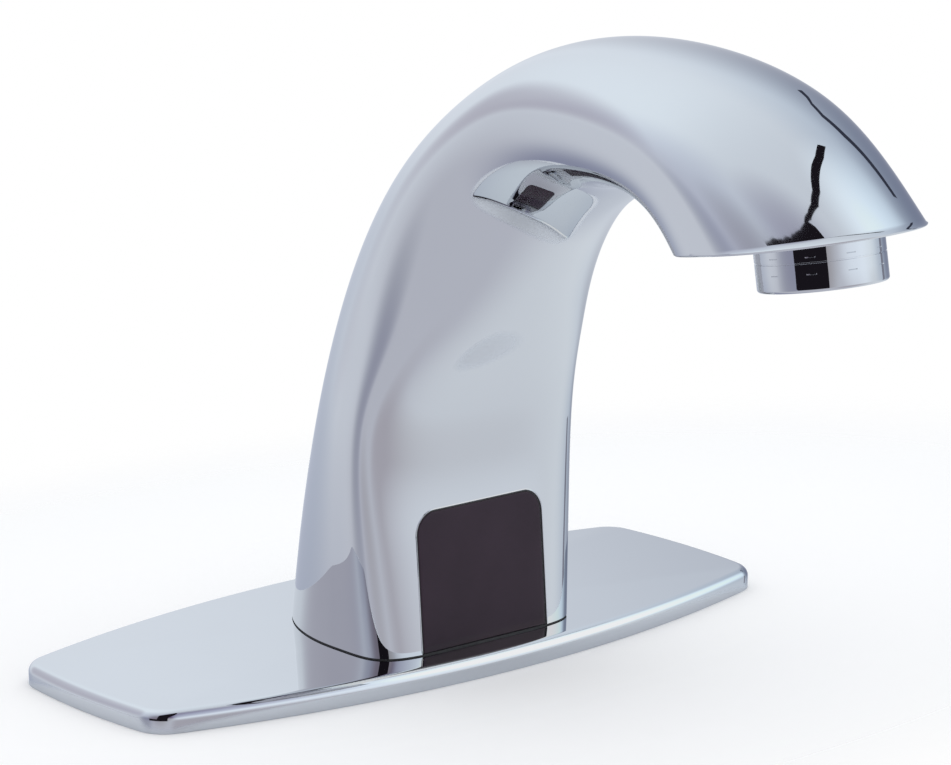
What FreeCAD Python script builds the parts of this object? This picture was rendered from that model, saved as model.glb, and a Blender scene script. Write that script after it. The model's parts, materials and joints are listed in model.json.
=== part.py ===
# Deck-mounted sensor tap: a chrome arched spout on an oval-sided deck plate, with a dark
# sensor window at its foot, a solenoid valve inside the column and an aerator in the head.
#
# All sizes are in millimetres. The frame is +X to the right along the deck plate, -Y to
# the front (towards the basin) and +Z up. The origin is the centre of the deck plate's
# foot, on the surface that the tap stands on.

import FreeCAD, Part
import math
import os

V = FreeCAD.Vector

# ---------------------------------------------------------------- driving dimensions

# Deck plate: straight-ended, with bowed long sides and slightly bowed ends.
PLATE_HALF_LENGTH = 80.0
PLATE_END_BOW = 1.7
PLATE_END_HALF_WIDTH = 22.7
PLATE_MID_HALF_WIDTH = 35.1
PLATE_CORNER_RADIUS = 7.2
PLATE_HEIGHT = 4.6
PLATE_EDGE_RADIUS = 2.0
PLATE_WALL = 1.7
PLATE_ROOF = 2.0
PLATE_OPENING = (22.5, 16.0)
GASKET_THICK = 0.8
GASKET_WIDTH = 4.85
CARRIER_RIB = 1.6
CARRIER_WEB = 0.9

# Seam gasket between the plate and the spout.
SEAM = 0.3
BODY_FOOT = PLATE_HEIGHT + SEAM

# Spout stations from foot to mouth. Each is a flat section, given by the point on the inner
# (front, then under) line, the point on the outer (back, then top) line, the half width, how
# far along the section it is widest, and a power. In front of its widest line a section is a
# superellipse of that power: nearly flat with soft corners at the foot and the mouth, and
# close to an ellipse in the bend. Behind the widest line it is an ellipse.
STATIONS = [
    # y_in    z_in    y_out   z_out   half  widest  power
    (-27.4, BODY_FOOT, 22.4, BODY_FOOT, 26.8, 0.34, 5.0),
    (-25.4, 29.0, 15.0, 30.5, 28.3, 0.32, 5.0),
    (-25.6, 53.0, 5.8, 57.5, 28.6, 0.31, 4.9),
    (-36.2, 72.1, -3.2, 82.7, 26.7, 0.45, 2.9),
    (-49.6, 89.9, -20.8, 107.6, 26.1, 0.57, 2.1),
    (-62.2, 100.1, -44.7, 126.3, 26.0, 0.62, 2.15),
    (-75.3, 107.0, -69.2, 133.8, 25.1, 0.58, 3.0),
    (-93.1, 107.3, -105.7, 128.1, 24.6, 0.53, 4.1),
    (-103.5, 100.0, -137.3, 106.0, 24.4, 0.43, 5.0),
]
LAST = len(STATIONS) - 1
BODY_WALL = 1.9
# How far before the last station the hollow ends, which leaves a wall across the mouth.
MOUTH_WALL = 0.12
# What is joined to the inside of the spout's wall stops this far inside its surface.
SKIN_INSET = 0.6

# Sensor window, at the foot of the column's front.
WINDOW_HALF_WIDTH = 16.7
WINDOW_TOP = 34.0
WINDOW_CORNER = 5.0
WINDOW_GAP = 0.45

# Sensor box and board, behind the window.
HOUSING_BACK = -15.6
HOUSING_FRONT = -22.4
HOUSING_HALF = 15.9
HOUSING_WALL = 1.2
BOARD_FRONT = -19.2
BOARD_THICK = 1.2
BOARD_HALF = 14.0
BOARD_SCREW = (11.0, 10.5)
EYE = (7.5, 21.0)
EYE_RADIUS = 2.5
LAMP = (4.0, 28.5)
LAMP_RADIUS = 1.5

# Base block, which closes the column's foot and takes the studs, water and lead.
BLOCK_BOTTOM = 5.2
BLOCK_TOP = 15.0
BLOCK_CLEAR = 0.4
STUD_SPACING = 30.0
STUD_Y = -7.2
STUD_TAP_RADIUS = 2.5
STUD_TAP_DEPTH = 8.0
INLET = (-7.0, 3.5)
INLET_TAP_RADIUS = 4.5
INLET_TAP_DEPTH = 7.1
GLAND = (7.5, 10.6)
GLAND_RADIUS = 3.6
LEAD_RADIUS = 2.2
LUG = (17.0, 3.0)
LUG_RADIUS = 4.0
LUG_HEIGHT = 9.0
SCREW_SHANK = 1.2
SCREW_HEAD = 2.75
SCREW_HEAD_THICK = 2.4
FILTER_RADIUS = 2.3
FILTER_SEAT = 3.8

# Solenoid valve, on a vertical axis at x = 0.
VALVE_Y = -3.4
VALVE_HALF = 11.6
VALVE_TOP = 26.0
VALVE_CORNER = 3.0
RING_FLOOR = 19.0
SEAT_TOP = 23.0
RIM_FLOOR = 24.0
RIM_RADIUS = 10.6
COVER_TOP = 29.2
PASSAGE_Z = 17.5
PASSAGE_RADIUS = 1.7
COVER_SCREW_RADIUS = 0.8
PLUNGER_FOOT = 26.8
PLUNGER_RADIUS = 3.2
PLUNGER_LIFT = 2.0
CORE_RADIUS = 3.6
CORE_FOOT = 41.15
SPRING_FOOT = 33.0
SPRING_TURNS = 6
SPRING_WIRE = 0.18
SPRING_RADIUS = 1.3
COIL_BOTTOM = 30.6
COIL_TOP = 45.6
COIL_RADIUS = 7.4
BOBBIN_RADIUS = 4.5

# Outlet hose from the valve up the column and through the arch to the head.
HOSE_RADIUS = 3.5
HOSE_BORE = 2.5
HOSE_FOOT = (14.6, -9.0, 31.0)
HOSE_ROUTE = [
    (14.6, -9.0, 50.0),
    (12.0, -16.0, 72.0),
    (7.0, -27.0, 96.0),
    (3.0, -46.5, 115.8),
    (0.0, -70.5, 124.2),
    (0.0, -95.0, 121.2),
]

# Aerator, square to the mouth of the head.
AERATOR_Y = -120.8
AERATOR_RADIUS = 12.2
AERATOR_SHOWS = 8.6
NIPPLE_RADIUS = 10.9
NIPPLE_SHOWS = 5.0
THREAD_GAP = 0.05
POCKET_RADIUS = 9.4
POCKET_DEPTH = 3.0
CHAMBER_RADIUS = 5.5
CHAMBER_DEPTH = 10.0
BOSS_RADIUS = 11.2
BOSS_DEPTH = 12.0
RING_GAP = 0.05
RING_EDGE_RADIUS = 0.6
RING_LIP = 1.2
GROOVE_WIDTH = 0.22
GROOVE_DEPTH = 0.15
GROOVE_BELOW = 3.2
PAD_COUNT = 10
PAD_FIRST = 19.2
PAD_CURVE = 4.0
PAD_HEIGHT = 3.1
PAD_RECESS = 0.12
PAD_BELOW = 3.7
FLANGE_RADIUS = 10.7
FLANGE_THICK = 1.0
CARTRIDGE_RADIUS = 9.3
SCREEN_THICK = 0.4

# Points along each quarter of a spout section.
QUARTER = 8


# ---------------------------------------------------------------- helpers

def save(shape, node):
    """Write one node; several separate solids stay one compound."""
    solids = shape.Solids
    if not shape.isValid() or not solids:
        raise ValueError(node + " is not a valid solid")
    shape.exportStep("parts/" + node + ".step")
    print(node, len(solids), round(sum(s.Volume for s in solids), 2))


def cylinder(radius, height, base, axis=(0, 0, 1)):
    return Part.makeCylinder(radius, height, V(*base), V(*axis))


def tube(outer, inner, height, base, axis=(0, 0, 1)):
    return cylinder(outer, height, base, axis).cut(cylinder(inner, height, base, axis))


def block(x0, x1, y0, y1, z0, z1):
    return Part.makeBox(x1 - x0, y1 - y0, z1 - z0, V(x0, y0, z0))


def rounded_block(x0, x1, y0, y1, z0, z1, radius):
    """A box whose four upright edges are rounded."""
    solid = block(x0, x1, y0, y1, z0, z1)
    upright = [e for e in solid.Edges if abs(e.Vertexes[0].Z - e.Vertexes[1].Z) > 1e-6]
    return solid.makeFillet(radius, upright)


def revolve(profile, axis_x, axis_y):
    """Turn a closed outline of (radius, z) points about a vertical axis."""
    points = [V(axis_x + r, axis_y, z) for r, z in profile]
    face = Part.Face(Part.makePolygon(points + points[:1]))
    return face.revolve(V(axis_x, axis_y, 0), V(0, 0, 1), 360)


def prism(outline, z0, z1):
    """Extrude a closed wire, drawn at z = 0, from z0 to z1."""
    solid = Part.Face(outline).extrude(V(0, 0, z1 - z0))
    solid.translate(V(0, 0, z0))
    return solid


def fused(shapes):
    return shapes[0].multiFuse(shapes[1:]).removeSplitter()


def bent_path(points, share=0.45):
    """Straight runs joined by tangent arcs, each as large as its two runs allow."""
    points = [V(*p) for p in points]
    edges = []
    start = points[0]
    for before, corner, after in zip(points, points[1:], points[2:]):
        run_in = (corner - before).Length
        run_out = (after - corner).Length
        reach = share * min(run_in, run_out)
        into = (before - corner).normalize()
        away = (after - corner).normalize()
        first = corner + into * reach
        last = corner + away * reach
        half_turn = (math.pi - into.getAngle(away)) / 2
        radius = reach / math.tan(half_turn)
        bisector = (into + away).normalize()
        centre = corner + bisector * (radius / math.cos(half_turn))
        middle = centre - bisector * radius
        edges.append(Part.LineSegment(start, first).toShape())
        edges.append(Part.Arc(first, middle, last).toShape())
        start = last
    edges.append(Part.LineSegment(start, points[-1]).toShape())
    return Part.Wire(edges)


def swept_tube(path, radius):
    start = path.Edges[0]
    direction = start.tangentAt(start.FirstParameter)
    ring = Part.Wire(Part.makeCircle(radius, start.valueAt(start.FirstParameter), direction))
    return path.makePipeShell([ring], True, False)


# ---------------------------------------------------------------- spout shape

def cubic_through(values):
    """A natural cubic spline through values at 0, 1, 2 ... as a function."""
    n = len(values) - 1
    bend = [0.0] * (n + 1)
    left = [0.0] * (n + 1)
    for i in range(1, n):
        pivot = 4.0 - left[i - 1]
        left[i] = 1.0 / pivot
        rise = 6.0 * (values[i + 1] - 2.0 * values[i] + values[i - 1])
        bend[i] = (rise - bend[i - 1]) / pivot
    for i in range(n - 1, 0, -1):
        bend[i] -= left[i] * bend[i + 1]

    def at(t):
        i = min(int(t), n - 1)
        b = t - i
        a = 1.0 - b
        curve = (a ** 3 - a) * bend[i] + (b ** 3 - b) * bend[i + 1]
        return a * values[i] + b * values[i + 1] + curve / 6.0

    return at


PROFILE = [cubic_through(column) for column in zip(*STATIONS)]


def smooth_edge(place):
    """A cubic curve that follows place(share) for shares from 0 to 1."""
    small = 1e-5
    poles = []
    for i in range(QUARTER + 1):
        share = i / QUARTER
        low = max(share - small, 0.0)
        high = min(share + small, 1.0)
        reach = (place(high) - place(low)) * (1 / (high - low) / QUARTER / 3)
        poles.append(place(share) - reach)
        poles.append(place(share) + reach)
    poles[0] = place(0.0)
    poles[-1] = place(1.0)
    knots = [i / QUARTER for i in range(QUARTER + 1)]
    repeats = [4] + [2] * (QUARTER - 1) + [4]
    curve = Part.BSplineCurve()
    curve.buildFromPolesMultsKnots(poles, repeats, knots, False, 3)
    return curve.toShape()


def squared_quarter(share, power):
    """A point on a quarter superellipse, spread evenly along it for shares from 0 to 1."""
    near = share ** (power / 2)
    far = (1 - share) ** (power / 2)
    angle = math.pi / 2 * near / (near + far)
    rise = math.sin(angle)
    fall = math.cos(angle) if far else 0.0
    return rise ** (2 / power), fall ** (2 / power)


def section(t, inset=0.0, drop=0.0):
    """The closed wire at station t, moved inwards by inset and down by drop."""
    y_in, z_in, y_out, z_out, half, widest, power = [line(t) for line in PROFILE]
    chord = math.hypot(y_out - y_in, z_out - z_in)
    along = V(0, (y_out - y_in) / chord, (z_out - z_in) / chord)
    across = V(1, 0, 0)
    start = V(0, y_in, z_in - drop) + along * inset
    depth = chord - 2 * inset
    half -= inset

    def front(share):
        across_share, along_share = squared_quarter(share, power)
        return half * across_share, widest * depth * (1 - along_share)

    def back(share):
        angle = math.pi / 2 * share
        return half * math.cos(angle), depth * (widest + (1 - widest) * math.sin(angle))

    def side_edge(quarter, side):
        """A quarter on the right runs away from the front's middle, one on the left back to it."""
        def place(share):
            u, v = quarter(share if side > 0 else 1 - share)
            return start + across * (side * u) + along * v

        return smooth_edge(place)

    return Part.Wire([side_edge(front, 1), side_edge(back, 1), side_edge(back, -1),
                      side_edge(front, -1)])


def spout_solid(inset, first, last, drop=0.0):
    """The spout's solid shape between two stations, moved inwards by inset."""
    steps = max(4, int(round((last - first) * 2)))
    stops = [first + (last - first) * i / steps for i in range(steps + 1)]
    wires = [section(t, inset) for t in stops]
    if drop:
        wires.insert(0, section(first, inset, drop))
    return Part.makeLoft(wires, True, False)


def mouth_frame():
    """A point at the middle of the mouth, and the direction out of it."""
    y_in, z_in, y_out, z_out = STATIONS[-1][:4]
    slope = (z_out - z_in) / (y_out - y_in)
    centre = V(0, AERATOR_Y, z_in + slope * (AERATOR_Y - y_in))
    tilt = math.atan(-slope)
    return centre, V(0, -math.sin(tilt), -math.cos(tilt))


MOUTH, OUT = mouth_frame()


def on_mouth(depth):
    """The point on the aerator's axis this far inside the mouth."""
    return MOUTH - OUT * depth


def mouth_cylinder(radius, depth_in, depth_out):
    """A cylinder on the aerator's axis, between two depths inside the mouth."""
    return Part.makeCylinder(radius, depth_in - depth_out, on_mouth(depth_in), OUT)


def mouth_ring(outer, inner, depth_in, depth_out):
    solid = mouth_cylinder(outer, depth_in, depth_out)
    return solid.cut(mouth_cylinder(inner, depth_in, depth_out))


# ---------------------------------------------------------------- deck plate

def bow_radius(half_chord, bow):
    return (half_chord ** 2 + bow ** 2) / (2 * bow)


def plate_outline(inset=0.0):
    """Bowed long sides and ends, with rounded corners, moved inwards by inset."""
    side_radius = bow_radius(PLATE_HALF_LENGTH, PLATE_MID_HALF_WIDTH - PLATE_END_HALF_WIDTH)
    side_centre = PLATE_MID_HALF_WIDTH - side_radius
    end_radius = bow_radius(PLATE_END_HALF_WIDTH, PLATE_END_BOW)
    end_centre = PLATE_HALF_LENGTH + PLATE_END_BOW - end_radius
    side_radius -= inset
    end_radius -= inset

    # The corner lies where the side's circle and the end's circle meet.
    apart = math.hypot(end_centre, side_centre)
    along = (side_radius ** 2 - end_radius ** 2 + apart ** 2) / (2 * apart)
    across = math.sqrt(side_radius ** 2 - along ** 2)
    ux, uy = end_centre / apart, -side_centre / apart
    x = along * ux + across * uy
    y = side_centre + along * uy - across * ux
    corners = [V(x, y, 0), V(-x, y, 0), V(-x, -y, 0), V(x, -y, 0)]
    middle = side_centre + side_radius
    tip = end_centre + end_radius
    between = [V(0, middle, 0), V(-tip, 0, 0), V(0, -middle, 0), V(tip, 0, 0)]
    edges = []
    for i in range(4):
        edges.append(Part.Arc(corners[i], between[i], corners[(i + 1) % 4]).toShape())
    sharp = Part.Face(Part.Wire(edges)).extrude(V(0, 0, 1))
    upright = [e for e in sharp.Edges if abs(e.Vertexes[0].Z - e.Vertexes[-1].Z) > 0.5]
    solid = sharp.makeFillet(PLATE_CORNER_RADIUS - inset, upright)
    foot = [f for f in solid.Faces if abs(f.CenterOfMass.z) < 1e-6][0]
    return foot.OuterWire


def stadium(half_length, half_width, z0, z1):
    """A round-ended slot shape along X."""
    straight = half_length - half_width
    shapes = [
        block(-straight, straight, -half_width, half_width, z0, z1),
        cylinder(half_width, z1 - z0, (straight, 0, z0)),
        cylinder(half_width, z1 - z0, (-straight, 0, z0)),
    ]
    return fused(shapes)


def make_plate():
    solid = prism(plate_outline(), 0, PLATE_HEIGHT)
    top = [e for e in solid.Edges if e.BoundBox.ZMin > PLATE_HEIGHT - 1e-3]
    solid = solid.makeFillet(PLATE_EDGE_RADIUS, top)
    pocket = prism(plate_outline(PLATE_WALL), 0, PLATE_HEIGHT - PLATE_ROOF)
    opening = stadium(*PLATE_OPENING, -1, PLATE_HEIGHT + 1)
    save(solid.cut(pocket).cut(opening), "deck_plate")


def make_carrier():
    """The moulded carrier inside the plate, ribbed from below."""
    fit = 0.1
    top = PLATE_HEIGHT - PLATE_ROOF - fit
    solid = prism(plate_outline(PLATE_WALL + fit), GASKET_THICK, top)
    solid = solid.cut(stadium(*PLATE_OPENING, -1, top + 1))
    first = 27.0
    bay = 15.0
    half = 20.5
    narrower = 2.2
    for side in (-1, 1):
        for i in range(3):
            near = side * (first + i * bay)
            far = side * (first + (i + 1) * bay - CARRIER_RIB)
            reach = half - narrower * i
            hollow = block(min(near, far), max(near, far), -reach, reach, 0, top - CARRIER_WEB)
            solid = solid.cut(hollow)
    save(solid, "plate_carrier")


def make_deck_gasket():
    """A flat foam ring under the carrier, level with the plate's rim."""
    clear = 0.15
    outer = prism(plate_outline(PLATE_WALL + clear), 0, GASKET_THICK)
    inner = prism(plate_outline(PLATE_WALL + clear + GASKET_WIDTH), -1, GASKET_THICK + 1)
    save(outer.cut(inner), "deck_gasket")


def make_body_gasket():
    """The thin dark ring that shows as the seam under the spout."""
    inset = 0.12
    back = 0.5
    solid = Part.Face(section(0.0, inset)).extrude(V(0, 0, -SEAM))
    hole = stadium(PLATE_OPENING[0] + back, PLATE_OPENING[1] + back, 0, BODY_FOOT + 1)
    save(solid.cut(hole), "body_gasket")


# ---------------------------------------------------------------- spout and window

def window_prism(clear=0.0, y0=-40.0, y1=-19.0):
    """An upright arched slab across the column's front, narrowed all round by clear."""
    half = WINDOW_HALF_WIDTH - clear
    top = WINDOW_TOP - clear
    radius = WINDOW_CORNER - clear
    bottom = BODY_FOOT - 2.0
    slant = radius * math.sqrt(0.5)
    corner_x = half - radius
    corner_z = top - radius
    corners = [V(-half, y0, bottom), V(half, y0, bottom), V(half, y0, corner_z),
               V(corner_x, y0, top), V(-corner_x, y0, top), V(-half, y0, corner_z)]
    right = V(corner_x + slant, y0, corner_z + slant)
    left = V(-corner_x - slant, y0, corner_z + slant)
    edges = [
        Part.LineSegment(corners[0], corners[1]).toShape(),
        Part.LineSegment(corners[1], corners[2]).toShape(),
        Part.Arc(corners[2], right, corners[3]).toShape(),
        Part.LineSegment(corners[3], corners[4]).toShape(),
        Part.Arc(corners[4], left, corners[5]).toShape(),
        Part.LineSegment(corners[5], corners[0]).toShape(),
    ]
    return Part.Face(Part.Wire(edges)).extrude(V(0, y1 - y0, 0))


def make_spout():
    outer = spout_solid(0.0, 0.0, LAST)
    hollow = spout_solid(BODY_WALL, 0.0, LAST - MOUTH_WALL, drop=2.0)
    shell = outer.cut(hollow)

    # The lens and its seal are cut from the same wall that they fill.
    above_foot = block(-60, 60, -60, 60, BODY_FOOT + 0.05, 60)
    wall = shell.common(above_foot)
    lens = wall.common(window_prism(WINDOW_GAP))
    seal = wall.common(window_prism().cut(window_prism(WINDOW_GAP)))
    save(lens, "sensor_window")
    save(seal, "window_seal")

    # Two lugs inside the column take the base screws.
    skin = spout_solid(SKIN_INSET, 0.0, 2.0)
    pieces = [shell.cut(window_prism())]
    foot = BLOCK_TOP + 0.1
    for side in (-1, 1):
        x = side * LUG[0]
        y = LUG[1]
        end = x + side * 9
        boss = cylinder(LUG_RADIUS, LUG_HEIGHT, (x, y, foot))
        web = block(min(x, end), max(x, end), y - 3, y + 3, foot, foot + LUG_HEIGHT)
        lug = fused([boss, web]).common(skin)
        pieces.append(lug.cut(cylinder(SCREW_SHANK + 0.05, LUG_HEIGHT - 1, (x, y, foot - 0.1))))

    # The boss behind the mouth takes the hose's end, and the nipple below it is threaded.
    head_skin = spout_solid(SKIN_INSET, 5.5, LAST)
    pieces.append(mouth_cylinder(BOSS_RADIUS, BOSS_DEPTH, 1.0).common(head_skin))
    pieces.append(mouth_cylinder(NIPPLE_RADIUS, 1.5, -NIPPLE_SHOWS))
    body = fused(pieces)
    body = body.cut(mouth_cylinder(POCKET_RADIUS, POCKET_DEPTH, -NIPPLE_SHOWS - 1))
    body = body.cut(mouth_cylinder(CHAMBER_RADIUS, CHAMBER_DEPTH, 0.0))
    start, towards = hose_port()
    body = body.cut(Part.makeCylinder(HOSE_RADIUS + 0.05, 12.0, start, towards))
    save(body, "spout_body")


def hose_port():
    """Where the hose enters the chamber above the aerator, and its direction out."""
    chamber = on_mouth((POCKET_DEPTH + CHAMBER_DEPTH) / 2 + 0.2)
    towards = V(*HOSE_ROUTE[-1]) - chamber
    towards.normalize()
    return chamber + towards * (CHAMBER_RADIUS - 1.0), towards


# ---------------------------------------------------------------- base block

def make_base_block():
    outline = spout_solid(BODY_WALL + BLOCK_CLEAR, 0.0, 1.0)
    slab = block(-60, 60, HOUSING_BACK + 0.3, 60, BLOCK_BOTTOM, BLOCK_TOP)
    solid = outline.common(slab)
    height = BLOCK_TOP - BLOCK_BOTTOM
    for side in (-1, 1):
        x = side * STUD_SPACING / 2
        solid = solid.cut(cylinder(STUD_TAP_RADIUS, STUD_TAP_DEPTH, (x, STUD_Y, BLOCK_BOTTOM)))
        x = side * LUG[0]
        solid = solid.cut(cylinder(SCREW_SHANK + 0.4, height, (x, LUG[1], BLOCK_BOTTOM)))
        solid = solid.cut(cylinder(SCREW_HEAD + 0.15, 3.0, (x, LUG[1], BLOCK_BOTTOM)))
    place = (*INLET, BLOCK_BOTTOM)
    solid = solid.cut(cylinder(INLET_TAP_RADIUS, INLET_TAP_DEPTH, place))
    solid = solid.cut(cylinder(FILTER_SEAT, INLET_TAP_DEPTH + 0.8, place))
    solid = solid.cut(cylinder(FILTER_RADIUS + 0.1, height, place))
    solid = solid.cut(cylinder(3.8, 1.0, (*INLET, BLOCK_TOP - 0.9)))
    solid = solid.cut(cylinder(GLAND_RADIUS, height, (*GLAND, BLOCK_BOTTOM)))
    save(solid, "base_block")


def make_base_screws():
    screws = []
    foot = BLOCK_BOTTOM + 0.6
    for side in (-1, 1):
        place = (side * LUG[0], LUG[1], foot)
        head = cylinder(SCREW_HEAD, SCREW_HEAD_THICK, place)
        shank = cylinder(SCREW_SHANK, 16.5, place)
        socket = cylinder(1.3, 1.4, place)
        screws.append(fused([head, shank]).cut(socket))
    save(Part.makeCompound(screws), "base_screws")


def make_inlet_filter():
    """A thimble of fine mesh above the inlet thread, drilled through its floor."""
    x, y = INLET
    foot = BLOCK_BOTTOM + INLET_TAP_DEPTH + 0.1
    height = 2.0
    flange = tube(FILTER_SEAT - 0.1, FILTER_RADIUS - 0.4, 0.6, (x, y, foot))
    wall = tube(FILTER_RADIUS, FILTER_RADIUS - 0.4, height, (x, y, foot))
    floor = cylinder(FILTER_RADIUS, 0.5, (x, y, foot + height))
    solid = fused([flange, wall, floor])
    for ring, count in ((0.0, 1), (1.2, 6)):
        for i in range(count):
            angle = 2 * math.pi * i / count
            spot = (x + ring * math.cos(angle), y + ring * math.sin(angle), foot + height - 0.5)
            solid = solid.cut(cylinder(0.28, 2.0, spot))
    save(solid, "inlet_filter")


def make_inlet_ring():
    """The O-ring that seals the inlet between base block and valve block."""
    wire = 0.45
    save(Part.makeTorus(3.2, wire, V(*INLET, BLOCK_TOP - wire)), "inlet_o_ring")


def make_cable_gland():
    """A rubber bush for the lead, set in the block."""
    place = (*GLAND, BLOCK_BOTTOM)
    height = BLOCK_TOP - BLOCK_BOTTOM - 1.0
    save(tube(GLAND_RADIUS - 0.05, LEAD_RADIUS, height, place), "cable_gland")


# ---------------------------------------------------------------- valve

def make_valve_block():
    top = VALVE_TOP
    y0 = VALVE_Y - VALVE_HALF
    y1 = VALVE_Y + VALVE_HALF
    body = rounded_block(-VALVE_HALF, VALVE_HALF, y0, y1, BLOCK_TOP, top, VALVE_CORNER)
    riser_x, riser_y = HOSE_FOOT[:2]
    riser = block(VALVE_HALF - 1, riser_x + 4.4, riser_y - 4.4, riser_y + 3.4, BLOCK_TOP, top)
    solid = fused([body, riser])

    # A ring chamber round the seat, with a wider step for the diaphragm's rim.
    seat_radius = 3.4
    chamber = revolve([(seat_radius, RING_FLOOR), (8.8, RING_FLOOR), (8.8, RIM_FLOOR),
                       (RIM_RADIUS, RIM_FLOOR), (RIM_RADIUS, top + 1), (0.0, top + 1),
                       (0.0, SEAT_TOP), (seat_radius, SEAT_TOP)], 0, VALVE_Y)
    solid = solid.cut(chamber)
    solid = solid.cut(cylinder(2.2, SEAT_TOP - PASSAGE_Z, (0, VALVE_Y, PASSAGE_Z)))
    across = V(riser_x, riser_y - VALVE_Y, 0)
    length = across.Length
    start = V(0, VALVE_Y, PASSAGE_Z)
    solid = solid.cut(Part.makeCylinder(PASSAGE_RADIUS, length, start, across))
    solid = solid.cut(cylinder(PASSAGE_RADIUS, 20.0, (riser_x, riser_y, PASSAGE_Z)))
    solid = solid.cut(cylinder(3.2, 3.0, (riser_x, riser_y, top - 2.5)))
    solid = solid.cut(cylinder(2.0, RING_FLOOR - BLOCK_TOP + 1, (*INLET, BLOCK_TOP)))
    for x, y in cover_screw_places():
        solid = solid.cut(cylinder(COVER_SCREW_RADIUS, 7.0, (x, y, top - 6.0)))
    save(solid, "valve_block")


def cover_screw_places():
    reach = VALVE_HALF - 2.2
    return [(sx * reach, VALVE_Y + sy * reach) for sx in (-1, 1) for sy in (-1, 1)]


def make_valve_cover():
    """The bonnet over the diaphragm, with the core tube's seat in its middle."""
    y0 = VALVE_Y - VALVE_HALF
    y1 = VALVE_Y + VALVE_HALF
    z0 = VALVE_TOP + 0.02
    solid = rounded_block(-VALVE_HALF, VALVE_HALF, y0, y1, z0, COVER_TOP, VALVE_CORNER)
    spigot = cylinder(RIM_RADIUS - 0.1, 1.0, (0, VALVE_Y, z0 - 0.7))
    solid = fused([solid, spigot])
    solid = solid.cut(cylinder(8.6, 2.9, (0, VALVE_Y, z0 - 0.9)))
    solid = solid.cut(cylinder(CORE_RADIUS + 0.03, 6.0, (0, VALVE_Y, z0)))
    for x, y in cover_screw_places():
        solid = solid.cut(cylinder(COVER_SCREW_RADIUS + 0.3, 6.0, (x, y, z0 - 1)))
    save(solid, "valve_cover")


def make_cover_screws():
    screws = []
    head_thick = 1.2
    for x, y in cover_screw_places():
        head = cylinder(1.8, head_thick, (x, y, COVER_TOP))
        shank = cylinder(COVER_SCREW_RADIUS - 0.02, 8.0, (x, y, COVER_TOP - 7.9))
        slot_floor = COVER_TOP + head_thick / 2
        slot = block(x - 2, x + 2, y - 0.25, y + 0.25, slot_floor, COVER_TOP + 2)
        screws.append(fused([head, shank]).cut(slot))
    save(Part.makeCompound(screws), "cover_screws")


def make_diaphragm():
    """Rubber: a clamped rim, a sloping web and a flat pad that closes the seat."""
    pad = SEAT_TOP + 0.04
    rim = RIM_FLOOR + 0.02
    profile = [(1.3, pad), (5.4, pad), (8.7, rim), (RIM_RADIUS - 0.1, rim),
               (RIM_RADIUS - 0.1, rim + 1.24), (8.7, rim + 1.24), (8.7, rim + 0.78),
               (5.2, pad + 0.86), (1.3, pad + 0.86)]
    save(revolve(profile, 0, VALVE_Y), "diaphragm")


def make_valve_disc():
    """The stiff disc that rides on the diaphragm, with the pilot hole through it."""
    pilot = 0.5
    foot = SEAT_TOP - 0.8
    plate = SEAT_TOP + 0.96
    profile = [(pilot, foot), (1.2, foot), (1.2, plate), (4.9, plate), (4.9, plate + 0.94),
               (1.6, plate + 0.94), (1.1, plate + 1.54), (pilot, plate + 1.54)]
    save(revolve(profile, 0, VALVE_Y), "valve_disc")


def make_core_tube():
    """A closed thin tube that guides the plunger, with a flange under the cover."""
    bore = PLUNGER_RADIUS + 0.1
    top = COIL_TOP + 2.0
    flange = PLUNGER_FOOT - 0.05
    profile = [(bore, flange), (5.2, flange), (5.2, flange + 1.15), (CORE_RADIUS, flange + 1.15),
               (CORE_RADIUS, top), (0.0, top), (0.0, top - 0.4), (bore, top - 0.4)]
    save(revolve(profile, 0, VALVE_Y), "core_tube")


def make_fixed_core():
    save(cylinder(PLUNGER_RADIUS + 0.05, 6.0, (0, VALVE_Y, CORE_FOOT)), "fixed_core")


def make_plunger():
    """The steel plunger, hollow from the top for its spring and from below for its seal."""
    top = CORE_FOOT - PLUNGER_LIFT - 0.1
    solid = cylinder(PLUNGER_RADIUS, top - PLUNGER_FOOT, (0, VALVE_Y, PLUNGER_FOOT))
    solid = solid.cut(cylinder(1.7, 20.0, (0, VALVE_Y, SPRING_FOOT)))
    solid = solid.cut(cylinder(1.5, 3.0, (0, VALVE_Y, PLUNGER_FOOT - 1.0)))
    save(solid, "plunger")


def make_plunger_seal():
    """The rubber tip that closes the pilot hole."""
    solid = fused([cylinder(1.48, 1.95, (0, VALVE_Y, PLUNGER_FOOT + 0.02)),
                   cylinder(1.2, 1.4, (0, VALVE_Y, PLUNGER_FOOT - 1.26))])
    save(solid, "plunger_seal")


def make_plunger_spring():
    foot = SPRING_FOOT + SPRING_WIRE + 0.05
    length = CORE_FOOT - foot - SPRING_WIRE - 0.1
    pitch = length / SPRING_TURNS
    helix = Part.makeHelix(pitch, length, SPRING_RADIUS)
    climb = V(0, 1, pitch / (2 * math.pi * SPRING_RADIUS))
    ring = Part.Wire(Part.makeCircle(SPRING_WIRE, V(SPRING_RADIUS, 0, 0), climb))
    solid = Part.Wire(helix.Edges).makePipeShell([ring], True, True)
    solid.translate(V(0, VALVE_Y, foot))
    save(solid, "plunger_spring")
    print("spring: gap between turns", round(pitch - 2 * SPRING_WIRE, 2))


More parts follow.
